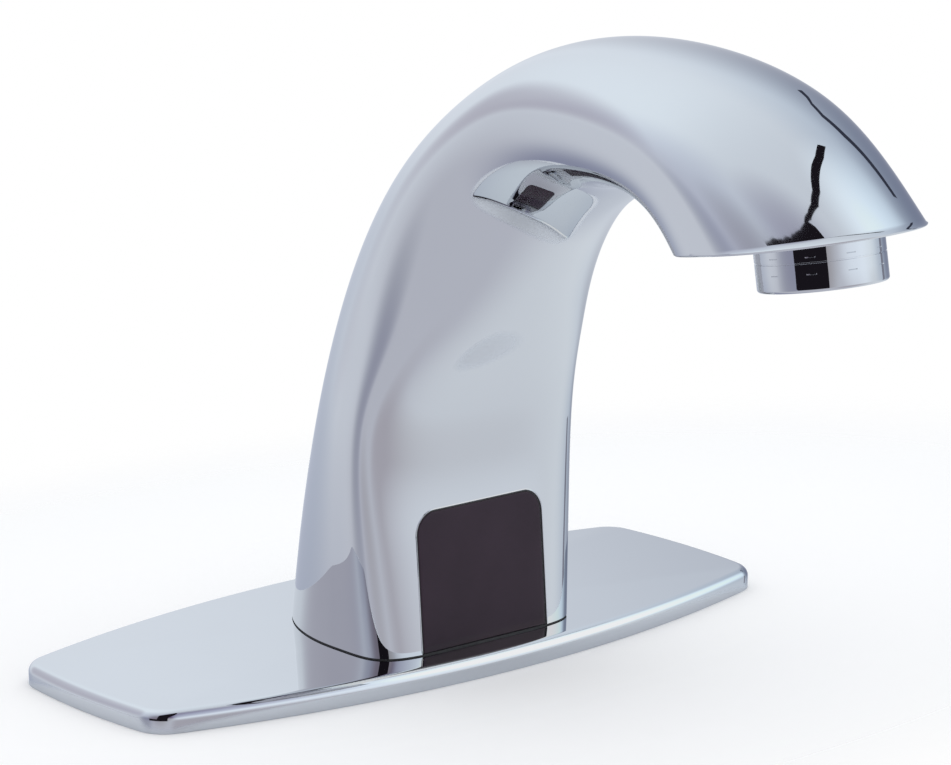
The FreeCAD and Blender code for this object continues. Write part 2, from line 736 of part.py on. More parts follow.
def make_coil():
    z0 = COIL_BOTTOM
    flange = 0.9
    height = COIL_TOP - z0
    bobbin = fused([
        cylinder(BOBBIN_RADIUS, height, (0, VALVE_Y, z0)),
        cylinder(COIL_RADIUS, flange, (0, VALVE_Y, z0)),
        cylinder(COIL_RADIUS, flange, (0, VALVE_Y, COIL_TOP - flange)),
    ]).cut(cylinder(CORE_RADIUS + 0.05, height + 2, (0, VALVE_Y, z0 - 1)))
    save(bobbin, "coil_bobbin")
    winding = tube(COIL_RADIUS - 0.5, BOBBIN_RADIUS, height - 2 * flange, (0, VALVE_Y, z0 + flange))
    save(winding, "coil_winding")


def make_coil_yoke():
    """A bent steel strap round the coil, open to the front."""
    sheet = 1.1
    deep = 5.5
    half = COIL_RADIUS + 0.15
    z0 = COIL_BOTTOM - 0.1 - sheet
    z1 = COIL_TOP + 0.1 + sheet
    outer = block(-half - sheet, half + sheet, VALVE_Y - deep, VALVE_Y + deep, z0, z1)
    inner = block(-half, half, VALVE_Y - 9, VALVE_Y + 9, z0 + sheet, z1 - sheet)
    bore = cylinder(CORE_RADIUS + 0.05, z1 - z0 + 2, (0, VALVE_Y, z0 - 1))
    save(outer.cut(inner).cut(bore), "coil_yoke")


def make_coil_clip():
    """The spring clip that holds the coil down on the core tube."""
    z0 = COIL_TOP + 1.25
    solid = tube(5.0, CORE_RADIUS + 0.02, 0.65, (0, VALVE_Y, z0))
    save(solid.cut(block(-1.2, 1.2, VALVE_Y - 8, VALVE_Y, z0 - 1, z0 + 2)), "coil_clip")


# ---------------------------------------------------------------- sensor

def across_front(radius, length, x, y, z):
    """A cylinder that points straight back from the front."""
    return cylinder(radius, length, (x, y, z), (0, 1, 0))


def make_sensor_housing():
    """A black moulded box behind the window, open to the front."""
    half = HOUSING_HALF
    inside = half - HOUSING_WALL
    foot = 5.4
    top = 33.6
    back = HOUSING_BACK - HOUSING_WALL
    solid = rounded_block(-half, half, HOUSING_FRONT, HOUSING_BACK, foot, top, 1.5)
    solid = solid.cut(block(-inside, inside, HOUSING_FRONT - 8, back,
                            foot + HOUSING_WALL, top - HOUSING_WALL))
    x, z = BOARD_SCREW
    solid = fused([solid] + [across_front(1.8, 1.2, side * x, back - 1.1, z) for side in (-1, 1)])
    for side in (-1, 1):
        solid = solid.cut(across_front(0.7, 2.0, side * x, back - 1.2, z))
    save(solid.cut(across_front(1.5, 4.0, 9.0, back - 1.0, 29.0)), "sensor_housing")


def make_sensor_board():
    solid = block(-BOARD_HALF, BOARD_HALF, BOARD_FRONT, BOARD_FRONT + BOARD_THICK, 7.2, 31.8)
    x, z = BOARD_SCREW
    for side in (-1, 1):
        solid = solid.cut(across_front(1.0, 4.0, side * x, BOARD_FRONT - 1, z))
    save(solid, "sensor_board")


def make_board_screws():
    screws = []
    x, z = BOARD_SCREW
    for side in (-1, 1):
        head = across_front(1.7, 1.0, side * x, BOARD_FRONT - 1.0, z)
        shank = across_front(0.68, 3.1, side * x, BOARD_FRONT - 0.1, z)
        screws.append(fused([head, shank]))
    save(Part.makeCompound(screws), "board_screws")


def make_eyes():
    """The sender and receiver diodes, the wall between them and the small lamp."""
    x, z = EYE
    length = 1.4
    neck = BOARD_FRONT - length
    for side, node in ((-1, "ir_emitter"), (1, "ir_receiver")):
        barrel = across_front(EYE_RADIUS, length, side * x, neck, z)
        dome = Part.makeSphere(EYE_RADIUS, V(side * x, neck, z))
        front = block(-HOUSING_HALF, HOUSING_HALF, HOUSING_FRONT - 0.3, neck, z - 3, z + 3)
        save(fused([barrel, dome.common(front)]), node)
    save(block(-0.8, 0.8, HOUSING_FRONT, BOARD_FRONT, 12.0, 31.0), "light_divider")
    save(across_front(LAMP_RADIUS, 2.2, LAMP[0], BOARD_FRONT - 2.2, LAMP[1]), "status_lamp")


# ---------------------------------------------------------------- hose

def make_hose():
    start, towards = hose_port()
    route = [HOSE_FOOT] + HOSE_ROUTE + [tuple(start + towards * 1.0)]
    path = bent_path(route)
    outside = swept_tube(path, HOSE_RADIUS)
    inside = swept_tube(path, HOSE_BORE)
    save(outside.cut(inside), "outlet_hose")
    area = math.pi * (HOSE_RADIUS ** 2 - HOSE_BORE ** 2)
    print("hose length", round(path.Length, 1), "wall volume", round(area * path.Length, 1))


def make_hose_connector():
    """The barb in the valve block's outlet that the hose pushes onto."""
    x, y, z = HOSE_FOOT
    foot = VALVE_TOP - 2.4
    barb = HOSE_BORE - 0.1
    profile = [(1.6, foot), (3.1, foot), (3.1, VALVE_TOP), (2.9, VALVE_TOP), (2.9, z - 1.6),
               (3.9, z - 1.6), (3.9, z - 0.02), (barb, z - 0.02), (barb, z + 6.0), (1.6, z + 6.0)]
    save(revolve(profile, x, y), "hose_connector")


# ---------------------------------------------------------------- aerator

RING_FLOOR_DEPTH = RING_LIP - AERATOR_SHOWS


def make_aerator_housing():
    """The ring that screws over the nipple and carries the cartridge on its lip."""
    solid = mouth_cylinder(AERATOR_RADIUS, -RING_GAP, -AERATOR_SHOWS)
    rims = [e for e in solid.Edges if e.Closed]
    lowest = max(rims, key=lambda e: (e.CenterOfMass - MOUTH).dot(OUT))
    solid = solid.makeFillet(RING_EDGE_RADIUS, [lowest])
    solid = solid.cut(mouth_cylinder(NIPPLE_RADIUS + THREAD_GAP, 1.0, RING_FLOOR_DEPTH))
    solid = solid.cut(mouth_cylinder(CARTRIDGE_RADIUS, 0.0, -AERATOR_SHOWS - 1))
    groove = mouth_ring(AERATOR_RADIUS + 1, AERATOR_RADIUS - GROOVE_DEPTH,
                        -GROOVE_BELOW + GROOVE_WIDTH / 2, -GROOVE_BELOW - GROOVE_WIDTH / 2)
    solid = solid.cut(groove)
    for i in range(PAD_COUNT):
        solid = solid.cut(grip_pad(PAD_FIRST + 360.0 * i / PAD_COUNT))
    save(solid, "aerator_housing")


def across_mouth(right, back, depth):
    """A point off the aerator's axis, in the plane this far inside the mouth."""
    return on_mouth(depth) + V(right, 0, 0) + V(1, 0, 0).cross(OUT) * back


def grip_pad(degrees):
    """The cut for one shallow scallop, at an angle from the front towards the right."""
    angle = math.radians(degrees)
    reach = AERATOR_RADIUS - PAD_RECESS + PAD_CURVE
    top = PAD_HEIGHT / 2 - PAD_BELOW
    centre = across_mouth(reach * math.sin(angle), -reach * math.cos(angle), top)
    return Part.makeCylinder(PAD_CURVE, PAD_HEIGHT, centre, OUT)


def honeycomb(rings, pitch):
    """Hole places on a hexagonal grid, as (right, back) offsets."""
    places = []
    for q in range(-rings, rings + 1):
        for r in range(-rings, rings + 1):
            if abs(q + r) <= rings:
                places.append((pitch * (q + r / 2), pitch * r * math.sqrt(0.75)))
    return places


def drilled(solid, places, radius, depth_in, depth_out):
    """The solid with a hole along the aerator's axis at each place."""
    length = depth_in - depth_out
    holes = [Part.makeCylinder(radius, length, across_mouth(*place, depth_in), OUT)
             for place in places]
    return solid.cut(Part.makeCompound(holes))


def make_aerator_inside():
    """The cartridge: honeycomb insert, screen and flow regulator, with a washer round it."""
    floor = RING_FLOOR_DEPTH + 0.05
    flange_top = floor + FLANGE_THICK
    insert_top = -3.5
    insert = fused([mouth_cylinder(CARTRIDGE_RADIUS - 0.05, insert_top, floor),
                    mouth_cylinder(FLANGE_RADIUS, flange_top, floor)])
    insert = drilled(insert, honeycomb(4, 2.0), 0.8, insert_top + 1, floor - 1)
    save(insert, "aerator_insert")
    washer = mouth_ring(FLANGE_RADIUS, CARTRIDGE_RADIUS, -NIPPLE_SHOWS - 0.02, flange_top + 0.02)
    save(washer, "aerator_washer")
    screen_foot = insert_top + 0.05
    screen_top = screen_foot + SCREEN_THICK
    screen = mouth_cylinder(CARTRIDGE_RADIUS, screen_top, screen_foot)
    screen = drilled(screen, honeycomb(5, 1.6), 0.5, screen_top + 1, screen_foot - 1)
    save(screen, "aerator_screen")
    top = 0.5
    foot = screen_top + 0.05
    ports = []
    for i in range(6):
        angle = math.pi / 3 * i
        ports.append((6.0 * math.cos(angle), 6.0 * math.sin(angle)))
    regulator = mouth_ring(CARTRIDGE_RADIUS, 2.5, top, foot)
    save(drilled(regulator, ports, 1.4, top + 1, foot - 1), "flow_regulator")


# ---------------------------------------------------------------- build

os.makedirs("parts", exist_ok=True)
make_plate()
make_carrier()
make_deck_gasket()
make_body_gasket()
make_spout()
make_base_block()
make_base_screws()
make_inlet_filter()
make_inlet_ring()
make_cable_gland()
make_valve_block()
make_valve_cover()
make_cover_screws()
make_diaphragm()
make_valve_disc()
make_core_tube()
make_fixed_core()
make_plunger()
make_plunger_seal()
make_plunger_spring()
make_coil()
make_coil_yoke()
make_coil_clip()
make_sensor_housing()
make_sensor_board()
make_board_screws()
make_eyes()
make_hose()
make_hose_connector()
make_aerator_housing()
make_aerator_inside()
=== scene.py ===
"""A deck-mounted sensor tap: arched chrome spout, bowed deck plate, dark sensor window and
screw-on aerator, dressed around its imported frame.

Shapes are worked out in millimetres, in the frame's own axes, and turned into metres when a
mesh is made. +X runs to the right along the deck plate, -Y to the front and +Z up. The
origin is the centre of the deck plate's foot.
"""

import json
import math

import bmesh
import bpy
from mathutils import Matrix, Vector
from mathutils.bvhtree import BVHTree


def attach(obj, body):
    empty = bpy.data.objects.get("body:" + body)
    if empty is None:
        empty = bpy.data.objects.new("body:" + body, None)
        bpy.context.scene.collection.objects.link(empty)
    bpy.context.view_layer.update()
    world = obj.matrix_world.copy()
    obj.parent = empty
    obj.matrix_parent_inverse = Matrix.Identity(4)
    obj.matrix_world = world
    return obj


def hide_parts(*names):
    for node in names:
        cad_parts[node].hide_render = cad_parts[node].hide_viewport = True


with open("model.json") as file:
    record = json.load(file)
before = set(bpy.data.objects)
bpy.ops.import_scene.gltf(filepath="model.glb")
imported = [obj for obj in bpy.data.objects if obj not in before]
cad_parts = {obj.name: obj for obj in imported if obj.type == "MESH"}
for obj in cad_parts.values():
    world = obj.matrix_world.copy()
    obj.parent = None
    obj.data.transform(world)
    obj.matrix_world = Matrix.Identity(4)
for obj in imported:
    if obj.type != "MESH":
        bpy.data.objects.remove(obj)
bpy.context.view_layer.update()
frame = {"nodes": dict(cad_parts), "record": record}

MM = 0.001

# ---------------------------------------------------------------- driving dimensions

# Deck plate.
PLATE_HALF_LENGTH = 80.0
PLATE_END_BOW = 1.7
PLATE_END_HALF_WIDTH = 22.7
PLATE_MID_HALF_WIDTH = 35.1
PLATE_CORNER_RADIUS = 7.2
PLATE_HEIGHT = 4.6
PLATE_EDGE_RADIUS = 2.0
PLATE_FOOT_RADIUS = 0.25
PLATE_WALL = 1.7
PLATE_ROOF = 2.0
PLATE_OPENING = (22.5, 16.0)

# Spout: flat sections from foot to mouth, as (inner y, inner z, outer y, outer z, half width,
# share of the depth at which it is widest, power of the curve in front of the widest line).
BODY_FOOT = 4.9
STATIONS = [
    (-27.4, BODY_FOOT, 22.4, BODY_FOOT, 26.8, 0.34, 5.0),
    (-25.4, 29.0, 15.0, 30.5, 28.3, 0.32, 5.0),
    (-25.6, 53.0, 5.8, 57.5, 28.6, 0.31, 4.9),
    (-36.2, 72.1, -3.2, 82.7, 26.7, 0.45, 2.9),
    (-49.6, 89.9, -20.8, 107.6, 26.1, 0.57, 2.1),
    (-62.2, 100.1, -44.7, 126.3, 26.0, 0.62, 2.15),
    (-75.3, 107.0, -69.2, 133.8, 25.1, 0.58, 3.0),
    (-93.1, 107.3, -105.7, 128.1, 24.6, 0.53, 4.1),
    (-103.5, 100.0, -137.3, 106.0, 24.4, 0.43, 5.0),
]
LAST = len(STATIONS) - 1
HOLLOW_END = LAST - 0.12
BODY_WALL = 1.9
LIP_DEPTH = 1.0
FOOT_EDGE = 0.2
MOUTH_EDGE = 0.38

# Sensor window.
WINDOW_HALF_WIDTH = 16.7
WINDOW_TOP = 34.0
WINDOW_FOOT = 4.95
WINDOW_CORNER = 5.0
WINDOW_GAP = 0.45
WINDOW_DEPTH = 1.8
LENS_RECESS = 0.03
LENS_EDGE = 0.22
SEAL_RECESS = 0.16
RIM_BEAD = 0.14
RIM_RECESS = 0.02
RIM_FOOT = WINDOW_FOOT + 0.2

# The block that cuts the window's opening: it reaches from front to back in y.
CUTTER_FOOT = BODY_FOOT - 2.0
CUTTER_FRONT = -40.0
CUTTER_BACK = -19.0

# Aerator, square to the mouth. Angles are in degrees.
AERATOR_Y = -120.8
RING_RADIUS = 12.2
RING_GAP = 0.05
RING_FOOT = 8.6
RING_EDGE = 0.6
RING_CHAMFER = 0.12
RING_BORE = 10.95
RING_LIP = 1.2
RING_LIP_RADIUS = 9.3
RING_LIP_CHAMFER = 0.3
GROOVE_BELOW = 3.2
GROOVE_WIDTH = 0.22
GROOVE_DEPTH = 0.15
GROOVE_FLANK = 0.04
PAD_COUNT = 10
PAD_FIRST = 19.2
PAD_FLANK = 0.4
PAD_HEIGHT = 3.1
PAD_WIDTH = 1.7
PAD_NOTCH = 0.1
PAD_BELOW = 3.7
NIPPLE_RADIUS = 10.9
NIPPLE_FOOT = 5.0
THREAD_TURNS = 4
THREAD_PITCH = 1.0
THREAD_DEPTH = 0.35
THREAD_FILL = 0.95
THREAD_END = 0.2
PLAIN_RADIUS = NIPPLE_RADIUS - 0.02
POCKET_RADIUS = 9.4
POCKET_DEPTH = 3.0
CHAMBER_RADIUS = 5.5
CHAMBER_DEPTH = 10.0
SOCKET_DEPTH = 4.0
BOSS_RADIUS = 6.8
BOSS_DEPTH = 10.8
INLET_RADIUS = 1.0

# How finely the smooth shapes are divided.
QUARTER_STEPS = 44
RINGS_PER_STATION = 40
HOLLOW_RINGS_PER_STATION = 12
EDGE_STEPS = 6
WINDOW_STEPS = 24
WINDOW_CORNER_STEPS = 14
FRONT_STEPS = 40
LENS_EDGE_STEPS = 4
LENS_RINGS = 22
RIM_SIDES = 10
PLATE_END_STEPS = 24
PLATE_CORNER_STEPS = 16
PLATE_SIDE_STEPS = 48
PLATE_FOOT_STEPS = 4
PLATE_EDGE_STEPS = 14
PAD_STEPS = 6
PAD_GAP_STEPS = 18
RING_EDGE_STEPS = 8
THREAD_SIDES = 128
THREAD_ROWS = 10

# Edges sharper than this are shown sharp, in degrees.
SHARP_ANGLE = 35.0
SHARP_ANGLE_FINE = 30.0


# ---------------------------------------------------------------- mesh helpers

def make_piece(name, points, faces, body, replaced=(), sharp=SHARP_ANGLE):
    """One closed mesh piece from points in millimetres, riding on a body of the frame."""
    mesh = bpy.data.meshes.new(name)
    mesh.from_pydata([(x * MM, y * MM, z * MM) for x, y, z in points], [], faces)
    mesh.validate()
    face_outwards(mesh)
    shade(mesh, sharp)
    piece = bpy.data.objects.new(name, mesh)
    bpy.context.scene.collection.objects.link(piece)
    if body:
        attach(piece, body)
    if replaced:
        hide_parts(*replaced)
    return piece


def face_outwards(mesh):
    """Turn all faces of a closed mesh to the outside."""
    work = bmesh.new()
    work.from_mesh(mesh)
    bmesh.ops.recalc_face_normals(work, faces=work.faces)
    work.to_mesh(mesh)
    work.free()


def shade(mesh, sharp):
    """Smooth shading, apart from edges sharper than an angle in degrees."""
    mesh.shade_smooth()
    mesh.set_sharp_from_angle(angle=math.radians(sharp))


def skin_loops(loops, closed=True):
    """Quads between loops of equal length; with closed, the last loop joins the first."""
    count = len(loops[0])
    points = [p for loop in loops for p in loop]
    faces = []
    pairs = len(loops) if closed else len(loops) - 1
    for i in range(pairs):
        low = i * count
        high = (i + 1) % len(loops) * count
        for j in range(count):
            k = (j + 1) % count
            faces.append((low + j, low + k, high + k, high + j))
    return points, faces


def arc_steps(steps=EDGE_STEPS):
    """Cosine and sine pairs along a quarter turn, both ends included."""
    angles = [math.pi / 2 * i / steps for i in range(steps + 1)]
    return [(math.cos(a), math.sin(a)) for a in angles]


# ---------------------------------------------------------------- spout

def cubic_through(values):
    """A natural cubic spline through values at 0, 1, 2 ... as a function."""
    n = len(values) - 1
    bend = [0.0] * (n + 1)
    left = [0.0] * (n + 1)
    for i in range(1, n):
        pivot = 4.0 - left[i - 1]
        left[i] = 1.0 / pivot
        rise = 6.0 * (values[i + 1] - 2.0 * values[i] + values[i - 1])
        bend[i] = (rise - bend[i - 1]) / pivot
    for i in range(n - 1, 0, -1):
        bend[i] -= left[i] * bend[i + 1]

    def at(t):
        i = min(int(t), n - 1)
        b = t - i
        a = 1.0 - b
        curve = (a ** 3 - a) * bend[i] + (b ** 3 - b) * bend[i + 1]
        return a * values[i] + b * values[i + 1] + curve / 6.0

    return at


PROFILE = [cubic_through(column) for column in zip(*STATIONS)]


def squared_quarter(share, power):
    """A point on a quarter superellipse, spread evenly along it for shares from 0 to 1."""
    near = share ** (power / 2)
    far = (1 - share) ** (power / 2)
    angle = math.pi / 2 * near / (near + far)
    fall = math.cos(angle) if far else 0.0
    return math.sin(angle) ** (2 / power), fall ** (2 / power)


def section(t, inset=0.0, shift=Vector((0, 0, 0))):
    """The closed loop of points round the spout at station t, moved inwards by inset."""
    y_in, z_in, y_out, z_out, half, widest, power = [line(t) for line in PROFILE]
    chord = math.hypot(y_out - y_in, z_out - z_in)
    along = Vector((0, (y_out - y_in) / chord, (z_out - z_in) / chord))
    start = Vector((0, y_in, z_in)) + along * inset + shift
    depth = chord - 2 * inset
    half -= inset
    right = []
    for i in range(QUARTER_STEPS):
        rise, fall = squared_quarter(i / QUARTER_STEPS, power)
        right.append((half * rise, widest * depth * (1 - fall)))
    for i in range(QUARTER_STEPS):
        angle = math.pi / 2 * i / QUARTER_STEPS
        v = depth * (widest + (1 - widest) * math.sin(angle))
        right.append((half * math.cos(angle), v))
    left = [(-u, v) for u, v in right[:0:-1]]
    whole = right + [(0.0, depth)] + left
    return [Vector((u, 0, 0)) + start + along * v for u, v in whole]


def mouth_frame():
    """The point at the middle of the mouth, and the direction out of it."""
    y_in, z_in, y_out, z_out = STATIONS[-1][:4]
    slope = (z_out - z_in) / (y_out - y_in)
    tilt = math.atan(-slope)
    centre = Vector((0, AERATOR_Y, z_in + slope * (AERATOR_Y - y_in)))
    return centre, Vector((0, -math.sin(tilt), -math.cos(tilt)))


MOUTH, OUT = mouth_frame()
MOUTH_BACK = Vector((1, 0, 0)).cross(OUT)


def on_mouth(angle, radius, below):
    """A point round the aerator's axis, the angle going from the front towards the right."""
    return (MOUTH + OUT * below + Vector((1, 0, 0)) * (radius * math.sin(angle))
            - MOUTH_BACK * (radius * math.cos(angle)))


def mouth_angle(point):
    """The angle of a point round the aerator's axis, as on_mouth counts it."""
    offset = point - MOUTH
    return math.atan2(offset.x, -offset.dot(MOUTH_BACK))


def circle_like(loop, radius, below):
    """A circle on the aerator's axis with one point for each point of a loop."""
    return [on_mouth(mouth_angle(p), radius, below) for p in loop]


def outer_loops():
    """The spout's outside from foot to mouth: a fine hollow below the foot's edge, which
    shows as the seam on the plate, and a soft edge round the mouth."""
    loops = []
    for fall, rise in arc_steps()[::-1]:
        lift = Vector((0, 0, FOOT_EDGE * (1 - fall)))
        loops.append(section(0.0, FOOT_EDGE * rise, lift))
    count = LAST * RINGS_PER_STATION
    for i in range(1, count):
        loops.append(section(LAST * i / count))
    for fall, rise in arc_steps():
        drop = OUT * (-MOUTH_EDGE * (1 - rise))
        loops.append(section(LAST, MOUTH_EDGE * (1 - fall), drop))
    return loops


def make_spout():
    """The casting: a shell with a flat lip across the mouth."""
    loops = outer_loops()
    lip = loops[-1]
    loops.append(circle_like(lip, NIPPLE_RADIUS, 0.0))
    loops.append(circle_like(lip, NIPPLE_RADIUS, -LIP_DEPTH))
    steps = LAST * HOLLOW_RINGS_PER_STATION
    for i in range(steps, -1, -1):
        loops.append(section(HOLLOW_END * i / steps, BODY_WALL))
    points, faces = skin_loops(loops)
    piece = make_piece("spout", points, faces, "root", ("spout_body",))
    cut_window(piece)
    return piece


# ---------------------------------------------------------------- sensor window

def window_outline(inset, foot):
    """The window's outline as (x, z) from the left foot, over the top, to the right foot."""
    half = WINDOW_HALF_WIDTH - inset
    top = WINDOW_TOP - inset
    radius = WINDOW_CORNER - inset
    left = []
    for i in range(WINDOW_STEPS):
        left.append((-half, foot + (top - radius - foot) * i / WINDOW_STEPS))
    for fall, rise in arc_steps(WINDOW_CORNER_STEPS):
        left.append((-half + radius * (1 - fall), top - radius * (1 - rise)))
    across = []
    for i in range(1, WINDOW_STEPS):
        across.append((-half + radius + 2 * (half - radius) * i / WINDOW_STEPS, top))
    right = [(-x, z) for x, z in left[::-1]]
    return left + across + right


def cut_window(piece):
    """Cut the window's opening through the front wall."""
    outline = window_outline(0.0, CUTTER_FOOT)
    front = [(x, CUTTER_FRONT, z) for x, z in outline]
    back = [(x, CUTTER_BACK, z) for x, z in outline]
    count = len(outline)
    faces = [tuple(range(count)), tuple(range(2 * count - 1, count - 1, -1))]
    for i in range(count):
        k = (i + 1) % count
        faces.append((k, i, count + i, count + k))
    cutter = make_piece("window_cutter", front + back, faces, None)
    cut = piece.modifiers.new("window", "BOOLEAN")
    cut.operation = "DIFFERENCE"
    cut.solver = "EXACT"
    cut.object = cutter
    bpy.context.view_layer.update()
    graph = bpy.context.evaluated_depsgraph_get()
    mesh = bpy.data.meshes.new_from_object(piece.evaluated_get(graph))
    piece.modifiers.clear()
    piece.data = mesh
    bpy.data.objects.remove(cutter)
    shade(mesh, SHARP_ANGLE)


def front_surface():
    """A finder of the spout's front at a given x and z, up to the third station."""
    loops = [section(i / FRONT_STEPS) for i in range(2 * FRONT_STEPS + 1)]
    points, faces = skin_loops(loops, closed=False)
    tree = BVHTree.FromPolygons([Vector(p) for p in points], faces)

    def at(x, z):
        reach = max(z, BODY_FOOT + 0.01)
        hit = tree.ray_cast(Vector((x, -80.0, reach)), Vector((0, 1, 0)))[0]
        return hit.y

    return at


FRONT_AT = front_surface()


def on_front(x, z, depth):
    """A point a given depth behind the spout's front."""
    return Vector((x, FRONT_AT(x, z) + depth, z))


def make_lens():
    """The dark lens, softly rounded at its edge and filling its opening."""
    rings = []
    for fall, rise in arc_steps(LENS_EDGE_STEPS):
        inset = LENS_EDGE * (1 - fall)
        depth = LENS_RECESS + LENS_EDGE * (1 - rise)
        outline = window_outline(WINDOW_GAP + inset, WINDOW_FOOT + inset)
        rings.append([on_front(x, z, depth) for x, z in outline])
    centre_z = (WINDOW_TOP + WINDOW_FOOT) / 2
    last = window_outline(WINDOW_GAP + LENS_EDGE, WINDOW_FOOT + LENS_EDGE)
    for i in range(1, LENS_RINGS):
        keep = 1 - i / LENS_RINGS
        rings.append([on_front(x * keep, centre_z + (z - centre_z) * keep, LENS_RECESS)
                      for x, z in last])
    points, faces = skin_loops(rings, closed=False)
    count = len(last)
    middle = len(points)
    points.append(on_front(0.0, centre_z, LENS_RECESS))
    start = middle - count
    faces += [(start + j, start + (j + 1) % count, middle) for j in range(count)]
    back = len(points)
    outline = window_outline(WINDOW_GAP, WINDOW_FOOT)
    points += [on_front(x, z, WINDOW_DEPTH) for x, z in outline]
    faces += [(back + j, back + (j + 1) % count, (j + 1) % count, j) for j in range(count)]
    hub = len(points)
    points.append(on_front(0.0, centre_z, WINDOW_DEPTH))
    faces += [(back + (j + 1) % count, back + j, hub) for j in range(count)]
    return make_piece("window_lens", points, faces, "root", ("sensor_window",))


def make_seal():
    """The dark line round the lens, set a little below the surface."""
    outer = window_outline(0.0, WINDOW_FOOT)
    inner = window_outline(WINDOW_GAP, WINDOW_FOOT)
    corners = []
    for (xo, zo), (xi, zi) in zip(outer, inner):
        corners.append([on_front(xo, zo, SEAL_RECESS), on_front(xi, zi, SEAL_RECESS),
                        on_front(xi, zi, WINDOW_DEPTH), on_front(xo, zo, WINDOW_DEPTH)])
    points, faces = skin_loops(corners, closed=False)
    end = len(points) - 4
    faces += [(3, 2, 1, 0), (end, end + 1, end + 2, end + 3)]
    return make_piece("window_seal_line", points, faces, "root", ("window_seal",))


def sweep(path, radius, sides, name, body):
    """A thin round bead along an open path."""
    loops = []
    for i, point in enumerate(path):
        ahead = path[min(i + 1, len(path) - 1)]
        behind = path[max(i - 1, 0)]
        way = (ahead - behind).normalized()
        side = way.cross(Vector((0, 1, 0))).normalized()
        over = way.cross(side)
        turn = [2 * math.pi * j / sides for j in range(sides)]
        loops.append([point + side * (radius * math.cos(a)) + over * (radius * math.sin(a))
                      for a in turn])
    points, faces = skin_loops(loops, closed=False)
    end = len(points) - sides
    faces.append(tuple(range(sides))[::-1])
    faces.append(tuple(range(end, end + sides)))
    return make_piece(name, points, faces, body)


def make_window_rim():
    """The polished edge of the opening."""
    path = [on_front(x, z, RIM_RECESS) for x, z in window_outline(-RIM_RECESS, RIM_FOOT)]
    return sweep(path, RIM_BEAD, RIM_SIDES, "window_rim", "root")


# ---------------------------------------------------------------- deck plate

def bow_radius(half_chord, bow):
    """The radius of an arc from half its chord and its height."""
    return (half_chord ** 2 + bow ** 2) / (2 * bow)


def plate_outline(inset):
    """Points round the plate, moved inwards by inset, from the right end anticlockwise."""
    side = bow_radius(PLATE_HALF_LENGTH, PLATE_MID_HALF_WIDTH - PLATE_END_HALF_WIDTH)
    end = bow_radius(PLATE_END_HALF_WIDTH, PLATE_END_BOW)
    side_centre = Vector((0, PLATE_MID_HALF_WIDTH - side))
    end_centre = Vector((PLATE_HALF_LENGTH + PLATE_END_BOW - end, 0))

    # The corner's centre lies one corner radius inside both arcs.
    side_reach = side - PLATE_CORNER_RADIUS
    end_reach = end - PLATE_CORNER_RADIUS
    apart = (end_centre - side_centre).length
    along = (side_reach ** 2 - end_reach ** 2 + apart ** 2) / (2 * apart)
    across = math.sqrt(side_reach ** 2 - along ** 2)
    ux = (end_centre - side_centre) / apart
    uy = Vector((ux.y, -ux.x))
    corner = side_centre + ux * along + uy * across
    end_way = (corner - end_centre).normalized()
    side_way = (corner - side_centre).normalized()
    first = math.atan2(end_way.y, end_way.x)
    second = math.atan2(side_way.y, side_way.x)

    quarter = []

    def arc(centre, radius, begin, finish, steps, points):
        for i in range(points):
            a = begin + (finish - begin) * i / steps
            quarter.append(centre + Vector((math.cos(a), math.sin(a))) * (radius - inset))

    arc(end_centre, end, 0.0, first, PLATE_END_STEPS, PLATE_END_STEPS)
    arc(corner, PLATE_CORNER_RADIUS, first, second, PLATE_CORNER_STEPS, PLATE_CORNER_STEPS)
    arc(side_centre, side, second, math.pi / 2, PLATE_SIDE_STEPS, PLATE_SIDE_STEPS + 1)
    upper = quarter + [Vector((-p.x, p.y)) for p in quarter[-2::-1]]
    lower = [Vector((p.x, -p.y)) for p in upper[-2:0:-1]]
    return upper + lower


def stadium_like(loop, half_length, half_width):
    """A round-ended slot's outline with one point for each point of a loop."""
    straight = half_length - half_width
    points = []
    for p in loop:
        way = p.normalized()
        if abs(way.y) > 1e-9 and abs(way.x) * half_width / abs(way.y) <= straight:
            points.append(way * (half_width / abs(way.y)))
            continue
        centre = straight if way.x > 0 else -straight
        b = way.x * centre
        reach = b + math.sqrt(max(b * b - centre * centre + half_width ** 2, 0.0))
        points.append(way * reach)
    return points


def make_plate():
    """The deck plate's chrome cover, hollow below."""
    edge = PLATE_EDGE_RADIUS
    foot = PLATE_FOOT_RADIUS
    loops = []

    def ring(outline, z):
        loops.append([Vector((p.x, p.y, z)) for p in outline])

    for fall, rise in arc_steps(PLATE_FOOT_STEPS)[::-1]:
        ring(plate_outline(foot * (1 - fall)), foot * (1 - rise))
    for fall, rise in arc_steps(PLATE_EDGE_STEPS):
        ring(plate_outline(edge * (1 - fall)), PLATE_HEIGHT - edge * (1 - rise))
    top = plate_outline(edge)
    ring(stadium_like(top, *PLATE_OPENING), PLATE_HEIGHT)
    ring(stadium_like(top, *PLATE_OPENING), PLATE_HEIGHT - PLATE_ROOF)
    ring(plate_outline(PLATE_WALL), PLATE_HEIGHT - PLATE_ROOF)
    ring(plate_outline(PLATE_WALL), 0.0)
    points, faces = skin_loops(loops)
    return make_piece("plate_cover", points, faces, "root", ("deck_plate",))


# ---------------------------------------------------------------- aerator

